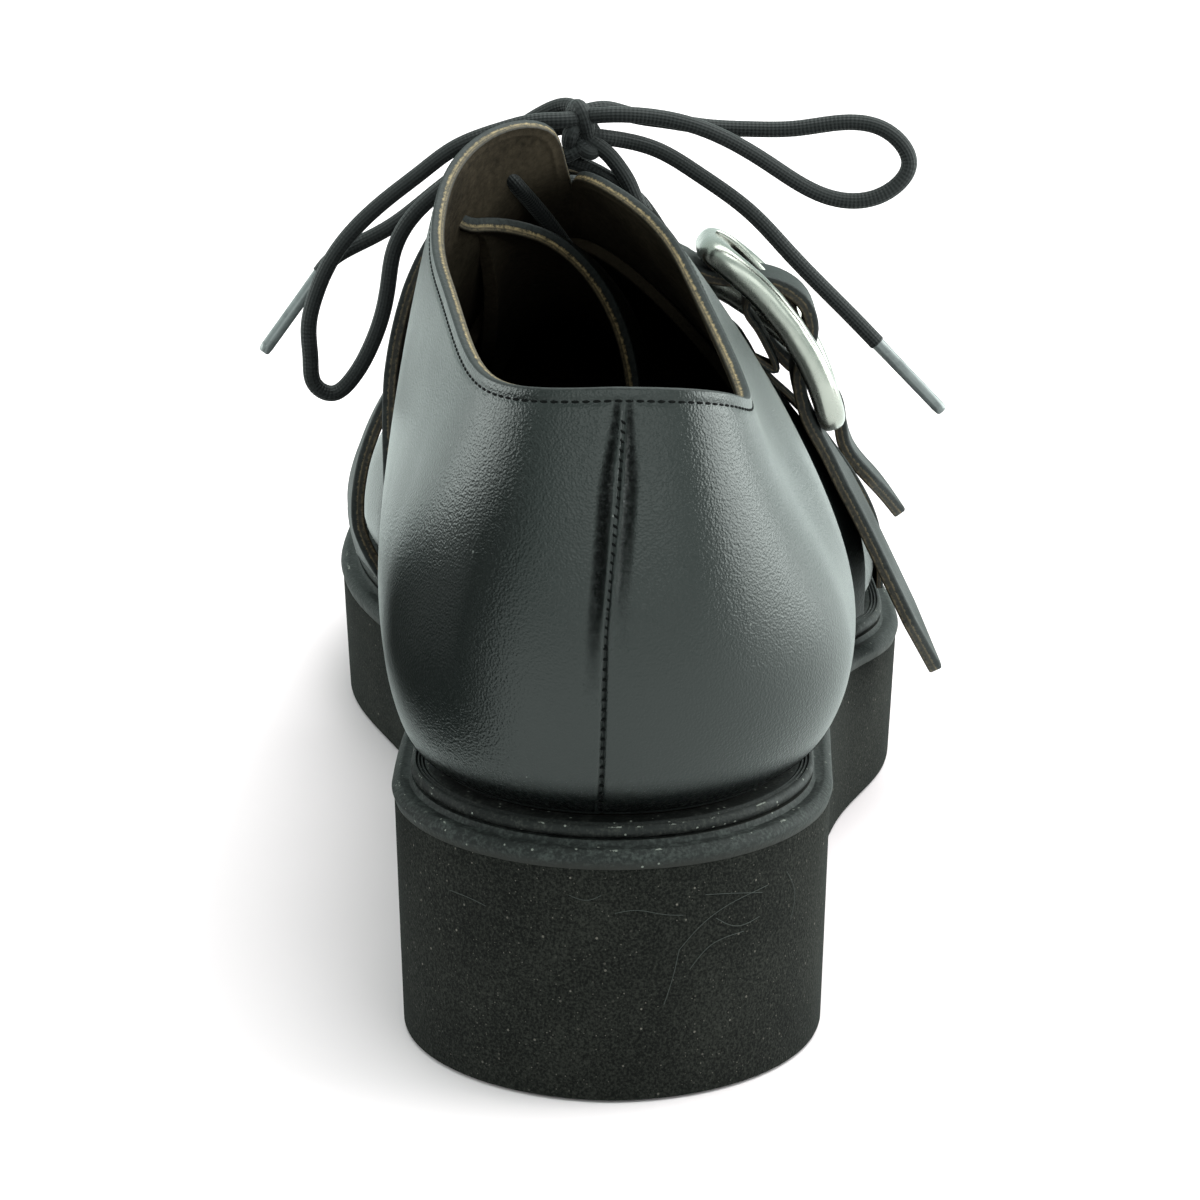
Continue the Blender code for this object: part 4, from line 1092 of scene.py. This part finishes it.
# Vamp: the front of the upper, one piece of calf drawn over the last and lapped under the quarters.
# Soft flex creases cross it over the ball, and its ridge is drawn smooth towards the toe.
VAMP_REAR = 0.487
VAMP_SINK = 1.3
VAMP_WALL = 1.8
VAMP_COLUMNS = 40
VAMP_MEET = 4
RIDGE_SOFT = (7.0, 16)
CREASES = (
    # turn at the ridge, slant towards the sole, depth, half width in turns
    (0.585, 0.020, 0.30, 0.006),
    (0.612, 0.008, 0.42, 0.007),
    (0.640, -0.010, 0.28, 0.006),
)
CREASE_FADE = (0.25, 0.7)
vamp_turn = np.concatenate([np.linspace(VAMP_REAR, 0.7, 70, endpoint=False), np.linspace(0.7, 1, 70)])[:, None]
vamp_up = np.linspace(0, 1, VAMP_COLUMNS)[None, :]
sides = {}
for side in (1, -1):
    face = rib(side, vamp_turn, vamp_up)
    out = rib_normal(side, vamp_turn, vamp_up)
    sink = VAMP_SINK * (1 - ease(VAMP_REAR, QUARTER_FRONT, vamp_turn)) + foot_tuck(vamp_up)
    for ridge_turn, slant, depth, half_width in CREASES:
        line = ridge_turn + slant * (1 - vamp_up)
        sink = sink + depth * ease(*CREASE_FADE, vamp_up) * bell(vamp_turn - line, half_width)
    sides[side] = face - sink[..., None] * out
meet = (sides[1][:, -1] + sides[-1][:, -1]) / 2
for side in (1, -1):
    sides[side] = sides[side] + (meet - sides[side][:, -1])[:, None] * (vamp_up**VAMP_MEET)[..., None]
vamp_grid = np.concatenate([sides[1], sides[-1][:, -2::-1]], 1)
over_ridge = bell(np.arange(1, vamp_grid.shape[1] - 1) - VAMP_COLUMNS + 1, RIDGE_SOFT[0])[None, :, None] / 4
for _ in range(RIDGE_SOFT[1]):
    bend = vamp_grid[:, :-2] - 2 * vamp_grid[:, 1:-1] + vamp_grid[:, 2:]
    vamp_grid[:, 1:-1] += over_ridge * bend
vamp_out = normals(vamp_grid)
vamp_out *= np.sign(vamp_out[10, VAMP_COLUMNS, 2])
vamp_out[-1] = vamp_out[-2]
vamp_grid[-1, VAMP_COLUMNS:] = vamp_grid[-1, VAMP_COLUMNS - 2 :: -1]
vamp = piece("vamp", cut_leather(vamp_grid, vamp_out, VAMP_WALL), [calf, flesh, flesh])
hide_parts("upper")

# Tongue: a thin calf flap, sewn in at the front of the throat and arched under it, flesh side down.
# Its slanting back edge is cut raw and shows tan.
TONGUE_THICK = 2.3
THIN_RIM = 0.3
TONGUE_ROWS = 50
TONGUE_STEPS = 61
TONGUE_COLUMNS = ("ahead", "crown", "crown_across", "medial", "lateral", "inner_drop", "outer_drop", "skew")
TONGUE = np.array(
    (
        (99.0, 103.9, -20.6, 2.6, 24.6, -1.5, 34.6, 11.0),
        (112.0, 98.6, -16.0, 4.8, 22.0, 8.5, 31.0, 7.0),
        (128.0, 89.4, -12.0, 9.6, 18.0, 16.0, 24.0, 3.0),
        (146.0, 79.0, -9.5, 12.0, 14.0, 15.0, 15.0, 1.0),
        (164.0, 72.0, -7.5, 11.0, 12.0, 6.0, 6.0, 0.0),
    )
)
TONGUE_BEND = 1.45
TONGUE_INNER_SKEW = 0.1
TONGUE_CROWN = (-0.15, 0.45)

ahead = np.linspace(TONGUE[0, 0], TONGUE[-1, 0], TONGUE_ROWS)[:, None]
read = {name: column(TONGUE, TONGUE_COLUMNS, name, ahead) for name in TONGUE_COLUMNS[1:]}
angle = np.linspace(-TONGUE_BEND, TONGUE_BEND, TONGUE_STEPS)[None, :]
outer_share = ease(*TONGUE_CROWN, angle)
reach = read["medial"] + (read["lateral"] - read["medial"]) * outer_share
drop = read["inner_drop"] + (read["outer_drop"] - read["inner_drop"]) * outer_share
lean = TONGUE_INNER_SKEW + (1 - TONGUE_INNER_SKEW) * outer_share
tongue_grid = np.stack(
    np.broadcast_arrays(
        read["crown_across"] + reach * np.sin(angle),
        ahead + read["skew"] * lean * np.sin(angle),
        read["crown"] - drop * (1 - np.cos(angle)),
    ),
    -1,
)
tongue_out = normals(tongue_grid)
tongue_out *= np.sign(tongue_out[TONGUE_ROWS // 2, TONGUE_STEPS // 2, 2])
grain_face, flesh_face, (cut_grid, cut_uv, _) = cut_leather(tongue_grid, tongue_out, TONGUE_THICK, THIN_RIM)
rear_edge = (cut_grid[:TONGUE_STEPS], cut_uv[:TONGUE_STEPS], 2)
side_edges = (cut_grid[TONGUE_STEPS - 1 :], cut_uv[TONGUE_STEPS - 1 :], 1)
tongue = piece("tongue_flap", [grain_face, flesh_face, rear_edge, side_edges], LEATHER)
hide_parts("tongue")

# Buckles: cast frames bent to the foot, polished and nickel plated.
# Each has a round bar across its middle, and a prong on the bar that goes through the strap and rests on the frame.
STRAP_WIDTH = 18.0
BUCKLE_COLUMNS = ("across", "height", "radius", "middle_deg", "ahead", "fall")
BUCKLES = {
    "rear": dict(zip(BUCKLE_COLUMNS, (-9.2, 55.0, 44.0, 35.0, 127.0, 0.14))),
    "front": dict(zip(BUCKLE_COLUMNS, (-14.4, 22.4, 63.2, 58.0, 160.0, 0.22))),
}
BUCKLE_OUTER = np.array((38.0, 29.0))
BUCKLE_INNER = np.array((27.0, 19.8))
BUCKLE_UNDER = 1.7
BUCKLE_DOME = 2.9
BAR_ALONG = -2.0
BUCKLE_SQUARE = 5.0
BUCKLE_SOFT = 0.8
BAR = 3.0
PRONG = 1.7
PRONG_ROUTE = np.array(((0.0, 1.6), (-3.0, 1.8), (-6.0, 2.2), (-10.0, 2.7), (-13.0, 3.0), (-15.4, 2.9)))
PRONG_STEPS = 40
PRONG_TAPER = np.array(((0.0, 0.7), (0.06, 1.0), (0.8, 0.9), (0.97, 0.7), (1.0, 0.35)))

nickel, tree, shader = finish_of("polished_nickel", Base_Color=(0.41, 0.40, 0.365, 1), Metallic=1.0)
place = own_place(tree)
feed(tree, shader, Roughness=remap(tree, noise(tree, place, 350.0, 4.0, 0.6), 0.3, 0.7, 0.20, 0.32))
bump(tree, shader, noise(tree, place, 160.0, 2.0), 0.15, 0.0004)


def buckle_place(size, along, off, aside):
    """Point at a length along a buckle's arc, a height off it and a distance ahead of its middle."""
    turned = np.radians(size["middle_deg"]) - np.asarray(along, float) / size["radius"]
    out = size["radius"] + off
    across = size["across"] + out * np.cos(turned)
    height = size["height"] + out * np.sin(turned) - size["fall"] * aside
    return np.stack(np.broadcast_arrays(across, size["ahead"] + aside, height), -1)


def buckle_frame(size):
    """Frame: a superellipse ring whose section is a bar with a domed face, bent on the buckle's arc."""
    turn = np.linspace(0, 2 * np.pi, 145)
    corner = np.stack([np.cos(turn), np.sin(turn)], -1)
    square = np.sign(corner) * np.abs(corner) ** (2 / BUCKLE_SQUARE)
    section = np.linspace(0, 2 * np.pi, 25)
    across = (1 - np.sign(np.cos(section)) * np.abs(np.cos(section)) ** BUCKLE_SOFT) / 2
    off = np.sign(np.sin(section)) * np.abs(np.sin(section)) ** BUCKLE_SOFT
    off = off * np.where(off > 0, BUCKLE_DOME, BUCKLE_UNDER)
    flat = square[:, None] * (BUCKLE_OUTER + (BUCKLE_INNER - BUCKLE_OUTER) * across[:, None])[None] / 2
    return buckle_place(size, flat[..., 0], off[None, :], flat[..., 1])


for end, size in BUCKLES.items():
    frame_grid = buckle_frame(size)
    reach = (BUCKLE_OUTER[1] + BUCKLE_INNER[1]) / 4
    bar_line = buckle_place(size, BAR_ALONG, 0.0, np.linspace(-reach, reach, 9))
    bar_grid, bar_uv = tube(bar_line, BAR / 2, 18, (0.0, 0.0, 1.0))
    buckle = piece(f"buckle_{end}_frame", [(frame_grid, spans(frame_grid), 0), (bar_grid, bar_uv, 0)], [nickel])
    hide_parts(f"buckle_{end}")
    route = path_through(PRONG_ROUTE, PRONG_STEPS)
    prong_line = buckle_place(size, BAR_ALONG + route[:, 0], route[:, 1], 0.0)
    taper = np.interp(np.linspace(0, 1, PRONG_STEPS), *PRONG_TAPER.T) * PRONG / 2
    prong_grid, prong_uv = tube(prong_line, taper, 14)
    prong = piece(f"prong_{end}_pin", [(prong_grid, prong_uv, 0)], [nickel])
    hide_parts(f"prong_{end}")

# Straps: two bands of calf, flesh side in, sewn in at the inner welt. Each runs clear over the instep, weaves through
# its buckle over the bar, and ends in a free pointed tail. A chape, a short strap from the outer welt, holds the bar.
STRAP_THICK = 2.2
STRAP_AIM = 0.05
STRAP_STEPS = 200
STRAP_CREST = 90
CHAPE_THICK = 1.2
CHAPE_WIDTH = 13.0
CHAPE_STEPS = 120
CHAPE_FLANK = 20
STRAPS = {
    "rear": {
        "turn": 0.472,
        "run": (
            # side, place up the rib, clearance at the rear edge and at the front edge
            (-1, 0.06, 0.5, 0.5),
            (-1, 0.20, 0.6, 0.6),
            (-1, 0.34, 1.7, 1.0),
            (-1, 0.48, 4.5, 2.2),
            (-1, 0.62, 6.8, 3.8),
            (-1, 0.78, 7.3, 4.6),
            (-1, 0.96, 4.4, 4.0),
            (1, 0.96, 3.9, 3.9),
            (1, 0.86, 3.9, 4.0),
        ),
        "tail": ((36.3, 53.4, 1.0), (43.0, 39.9, 1.0), (47.2, 31.0, 0.97), (51.6, 21.6, 0.12)),
        "chape": (
            (1, 0.04, 0.4, 0.4),
            (1, 0.20, 0.5, 0.5),
            (1, 0.34, 0.4, 0.4),
            (1, 0.44, 0.4, 0.2),
            (1, 0.56, 0.9, 0.2),
        ),
    },
    "front": {
        "turn": 0.552,
        "run": (
            (-1, 0.07, 1.2, 0.5),
            (-1, 0.20, 4.4, 1.0),
            (-1, 0.34, 5.0, 1.2),
            (-1, 0.55, 3.8, 1.6),
            (-1, 0.78, 2.4, 1.8),
            (-1, 0.96, 2.6, 2.4),
        ),
        "tail": ((37.6, 50.8, 1.0), (42.4, 44.2, 0.96), (47.2, 37.9, 0.12)),
        "chape": (
            (1, 0.04, -0.2, -0.2),
            (1, 0.20, -0.1, -0.1),
            (1, 0.36, -0.2, -0.2),
            (1, 0.50, -0.2, -0.2),
            (1, 0.58, 0.3, 0.3),
        ),
    },
}
WEAVE = (
    # along the buckle, off its frame
    (-19.5, -3.4),
    (-16.0, -3.3),
    (-12.5, -1.9),
    (-8.0, 1.6),
    (-4.5, 3.7),
    (-1.0, 4.4),
    (2.5, 3.2),
    (5.5, 0.2),
    (8.5, -2.2),
    (12.5, -3.1),
    (16.0, -3.1),
    (19.5, -2.2),
    (23.0, -0.9),
)
TAIL_FLARE = 0.05
CHAPE_ROUTE = (
    # along the buckle from its bar, off its frame
    (8.0, -5.1),
    (3.0, -4.3),
    (-1.0, -3.9),
    (-4.0, -3.3),
    (-4.9, -1.6),
    (-4.0, 0.2),
    (-2.3, 1.7),
    (0.0, 2.55),
    (1.9, 2.0),
)

# Painted shade: a darker, duller copy of the black calf, so that the straps' tails read dark.
shaded_strap_calf = calf_finish("shaded_strap_calf", (0.0030, 0.0036, 0.0034, 1), 0.42, 0.55, 0.16)
strap_edge = edge_finish(
    "strap_edge",
    (
        (0.36, (0.010, 0.011, 0.011, 1)),
        (0.45, (0.11, 0.075, 0.038, 1)),
        (0.54, (0.018, 0.013, 0.009, 1)),
        (0.74, (0.024, 0.017, 0.011, 1)),
        (0.86, (0.085, 0.058, 0.031, 1)),
        (0.96, (0.018, 0.013, 0.009, 1)),
    ),
)
STRAP_LEATHER = [shaded_strap_calf, flesh, strap_edge]


def held_rows(turn, run, width, thick):
    """Rows of a band that follows the upper: its middle, the direction to its front edge, and the full width."""
    rows = []
    for side, up, *lifts in run:
        rear, front = [
            rib(side, at, up) + (QUARTER_STEP + lift + thick / 2) * rib_normal(side, at, up)
            for at, lift in zip((turn, turn + STRAP_AIM), lifts)
        ]
        forward = unit(front - rear)
        rows.append((*(rear + forward * width / 2), *forward, 1.0))
    return rows


def woven_rows(size, route):
    """Rows of a band on its route through a buckle."""
    rows = []
    for along, off in route:
        ends = buckle_place(size, along, off, np.array([-1.0, 1.0]))
        rows.append((*ends.mean(axis=0), *unit(ends[1] - ends[0]), 1.0))
    return rows


def tail_rows(start, tail):
    """Rows of a strap's free tail, straight on from its last row and flared a little outwards."""
    forward = unit(np.array(start[3:6]) + [TAIL_FLARE, 0, 0])
    return [(x + TAIL_FLARE * STRAP_WIDTH / 2, start[1], z, *forward, share) for x, z, share in tail]


def band(rows, width, count):
    """Middle sheet of a flat band on a smooth line through its rows, and the direction out of it."""
    rows = np.array(rows)
    knots = lengths(rows[:, :3])
    at = np.linspace(0, knots[-1], count)
    line = np.stack([smooth(knots, rows[:, i], at) for i in range(3)], -1)
    forward = unit(np.stack([np.interp(at, knots, rows[:, i]) for i in (3, 4, 5)], -1))
    share = np.interp(at, knots, rows[:, 6])
    aside = np.linspace(-width / 2, width / 2, 15)
    sheet = line[:, None] + share[:, None, None] * aside[None, :, None] * forward[:, None]
    out = unit(np.cross(forward, np.gradient(line, axis=0)))
    out = np.repeat(out[:, None], len(aside), 1)
    return sheet, out


for end, strap in STRAPS.items():
    size = BUCKLES[end]
    rows = held_rows(strap["turn"], strap["run"], STRAP_WIDTH, STRAP_THICK) + woven_rows(size, WEAVE)
    rows += tail_rows(rows[-1], strap["tail"])
    sheet, out = band(rows, STRAP_WIDTH, STRAP_STEPS)
    out *= np.sign(out[STRAP_CREST, 0, 2])
    patches = cut_leather(sheet + out * STRAP_THICK / 2, out, STRAP_THICK)
    strap_piece = piece(f"strap_{end}_band", patches, STRAP_LEATHER)
    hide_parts(f"strap_{end}")
    route = [(BAR_ALONG + along, off) for along, off in CHAPE_ROUTE]
    rows = held_rows(strap["turn"], strap["chape"], CHAPE_WIDTH, CHAPE_THICK) + woven_rows(size, route)
    sheet, out = band(rows, CHAPE_WIDTH, CHAPE_STEPS)
    out *= np.sign(out[CHAPE_FLANK, 0, 0])
    patches = cut_leather(sheet + out * CHAPE_THICK / 2, out, CHAPE_THICK, THIN_RIM)
    chape = piece(f"chape_{end}_tab", patches, STRAP_LEATHER)
    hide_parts(f"chape_{end}")

# Lace: a round braided waxed cotton cord, tied in a bow. Short bars cross the throat, two strands rise to the knot,
# and from it go two loops and two ends with pale crimped tips.
LACE = 2.55
LACE_STEP = 0.5
AGLET = 2.15
AGLET_LENGTH = 15.2
AGLET_PROFILE = np.array(
    (
        # length past the cord's end, share of the tip's radius
        (-1.0, 0.9),
        (-0.9, 1.02),
        (0.0, 1.04),
        (0.4, 1.0),
        (6.0, 0.96),
        (AGLET_LENGTH - 1.2, 0.95),
        (AGLET_LENGTH - 0.3, 0.88),
        (AGLET_LENGTH, 0.7),
        (AGLET_LENGTH + 0.05, 0.3),
    )
)
LACE_BARS = (0.470, 0.488)
BAR_UPS = (0.84, 0.93, 1.0)
KNOT = np.array((-5.4, 112.4, 115.0))
KNOT_SINK = np.array((0.0, 0.0, -1.0))
KNOT_SPREAD = np.array((0.72, 1.35, 1.35))
KNOT_TILT = 0.12
RISES = {
    "lateral": (
        (-4.8, 112.4, 113.4),
        (-3.6, 112.0, 112.6),
        (-1.8, 111.6, 111.4),
        (0.7, 111.0, 108.6),
        (2.0, 110.6, 106.5),
        (2.8, 110.4, 104.6),
        (3.8, 111.0, 102.0),
    ),
    "medial": ((-5.4, 112.0, 112.0), (-7.4, 111.6, 110.8), (-9.6, 112.0, 110.6), (-12.6, 112.0, 108.9)),
    "across": (
        (-9.6, 114.0, 109.9),
        (-6.2, 114.0, 108.9),
        (-1.9, 112.6, 107.2),
        (0.4, 112.4, 105.8),
        (1.8, 112.6, 104.8),
        (3.6, 113.0, 102.8),
        (4.6, 113.6, 101.0),
    ),
    "inside": (
        (-19.4, 104.9, 112.4),
        (-16.8, 103.6, 109.7),
        (-13.5, 108.0, 104.7),
        (-10.4, 112.0, 99.8),
        (-7.5, 116.0, 94.6),
    ),
}
LOOPS = {
    "lateral": (
        (-4.4, 113.2, 117.2),
        (-2.1, 114.2, 117.4),
        (2.4, 116.0, 116.0),
        (7.6, 117.0, 114.9),
        (14.0, 118.0, 113.7),
        (21.0, 118.5, 113.2),
        (28.0, 118.5, 113.3),
        (36.0, 118.0, 114.4),
        (42.5, 117.0, 113.0),
        (45.6, 115.5, 108.4),
        (42.0, 114.5, 104.0),
        (34.0, 114.0, 103.2),
        (24.0, 113.0, 108.8),
        (12.6, 111.4, 115.2),
        (5.0, 110.8, 117.0),
        (-2.1, 110.7, 117.2),
        (-4.4, 111.6, 116.8),
    ),
    "medial": (
        (-6.0, 111.4, 116.4),
        (-8.1, 110.8, 116.4),
        (-12.0, 110.8, 116.2),
        (-18.0, 110.5, 114.8),
        (-24.9, 110.5, 112.0),
        (-30.0, 110.5, 108.2),
        (-35.1, 110.4, 104.2),
        (-40.3, 110.2, 99.4),
        (-44.2, 110.0, 94.2),
        (-46.6, 110.0, 88.8),
        (-47.8, 110.0, 83.4),
        (-47.6, 110.2, 78.2),
        (-46.9, 110.8, 73.9),
        (-44.3, 111.6, 72.4),
        (-41.4, 112.5, 74.4),
        (-38.6, 113.5, 78.9),
        (-36.6, 114.0, 84.1),
        (-35.5, 114.0, 89.4),
        (-34.6, 114.2, 94.6),
        (-32.2, 114.4, 99.4),
        (-27.6, 114.6, 104.0),
        (-18.5, 114.8, 110.4),
        (-12.0, 114.4, 113.7),
        (-8.2, 114.2, 114.5),
        (-6.0, 113.4, 114.8),
    ),
}
ENDS = {
    "lateral": (
        (-4.6, 112.6, 113.6),
        (-2.2, 113.0, 113.2),
        (1.0, 114.0, 112.5),
        (6.1, 114.0, 111.1),
        (12.7, 114.0, 107.2),
        (21.0, 114.0, 101.0),
        (27.0, 114.0, 94.6),
        (37.3, 114.0, 83.9),
        (41.0, 114.0, 80.0),
    ),
    "medial": (
        (-5.6, 114.2, 117.0),
        (-7.3, 116.2, 117.4),
        (-12.0, 118.0, 115.4),
        (-20.0, 118.6, 109.4),
        (-28.0, 118.6, 103.2),
        (-35.5, 118.4, 97.4),
        (-40.0, 118.2, 95.0),
        (-43.1, 117.8, 93.4),
        (-45.0, 117.4, 92.0),
        (-46.3, 117.0, 90.4),
    ),
}
BRAID_STRANDS = 8.0
BRAID_PITCH = 0.8

braid, tree, shader = finish_of(
    "braided_cotton", Roughness=0.62, Specular_IOR_Level=0.35, Sheen_Weight=0.08, Sheen_Roughness=0.4
)
along, around = surface_place(tree)
strands = maths(tree, "MULTIPLY", around, BRAID_STRANDS)
lays = []
for hand in (BRAID_PITCH, -BRAID_PITCH):
    lay = maths(tree, "MULTIPLY_ADD", along, hand, strands)
    lays.append(maths(tree, "SINE", maths(tree, "MULTIPLY", lay, 2 * np.pi)))
raised = remap(tree, maths(tree, "MULTIPLY", *lays), -1.0, 1.0, 0.0, 1.0)
# Painted shade: the cord's colour is darker where its strands sink, in the grooves of the braid.
tone = ramp(tree, raised, (0.0, (0.0020, 0.0021, 0.0024, 1)), (1.0, (0.0058, 0.0062, 0.0070, 1)))
feed(tree, shader, Base_Color=tone)
bump(tree, shader, raised, 0.6, 0.00018)

tip, tree, shader = finish_of("crimped_tip", Coat_Weight=0.8, Coat_Roughness=0.12)
cloudy = noise(tree, own_place(tree), 500.0, 3.0)
tone = ramp(tree, cloudy, (0.0, (0.06, 0.063, 0.066, 1)), (1.0, (0.19, 0.197, 0.20, 1)))
feed(tree, shader, Base_Color=tone, Roughness=remap(tree, cloudy, 0.3, 0.7, 0.22, 0.4))


def lace_line(points):
    """The line of a lace through its route, with a point every half millimetre."""
    points = np.asarray(points, float)
    return path_through(points, int(lengths(points)[-1] / LACE_STEP) + 2)


def lace_patch(line):
    """A lace's round tube on its line."""
    grid, uv = tube(line, LACE / 2, 16)
    return grid, uv, 0


bar_off = QUARTER_STEP + GAP + LACE / 2
bar_patches = []
for turn in LACE_BARS:
    outer_way, inner_way = [
        [rib(side, turn, up) + bar_off * rib_normal(side, turn, up) for up in BAR_UPS] for side in (1, -1)
    ]
    middle = (outer_way[-1] + inner_way[-1]) / 2
    bar_patches.append(lace_patch(lace_line(inner_way[:-1] + [middle] + outer_way[-2::-1])))
throat_lace = piece(
    "lace_throat", bar_patches + [lace_patch(lace_line(route)) for route in RISES.values()], [braid]
)
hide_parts("lace_bar_1", "lace_bar_2", "lace_rise_lateral", "lace_rise_medial")

knot_turn = np.linspace(0, 2 * np.pi, 241)
trefoil = np.stack(
    [
        np.sin(knot_turn) + 2 * np.sin(2 * knot_turn),
        np.sin(3 * knot_turn),
        2 * np.cos(2 * knot_turn) - np.cos(knot_turn),
    ],
    -1,
)
knot_line = KNOT + KNOT_SINK + KNOT_SPREAD * trefoil
knot_line[:, 0] -= KNOT_TILT * (knot_line[:, 2] - KNOT[2])
knot_bend = np.gradient(unit(np.gradient(knot_line, axis=0)), axis=0)
knot_grid, knot_uv = tube(knot_line, LACE / 2, 16, knot_bend)
knot = piece("lace_knot_turns", [(knot_grid, knot_uv, 0)], [braid])
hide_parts("lace_knot")

for side, route in LOOPS.items():
    line = lace_line(route)
    bow = piece(f"lace_loop_{side}_cord", [lace_patch(line)], [braid])
    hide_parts(f"lace_loop_{side}")

for side, route in ENDS.items():
    line = lace_line(route)
    loose = piece(f"lace_end_{side}_cord", [lace_patch(line)], [braid])
    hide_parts(f"lace_end_{side}")
    onward = unit(line[-1] - line[-3])
    tip_line = line[-1] + AGLET_PROFILE[:, :1] * onward
    tip_grid, tip_uv = tube(tip_line, AGLET_PROFILE[:, 1] * AGLET / 2, 16)
    aglet = piece(f"aglet_{side}_tip", [(tip_grid, tip_uv, 0)], [tip])
    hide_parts(f"aglet_{side}")
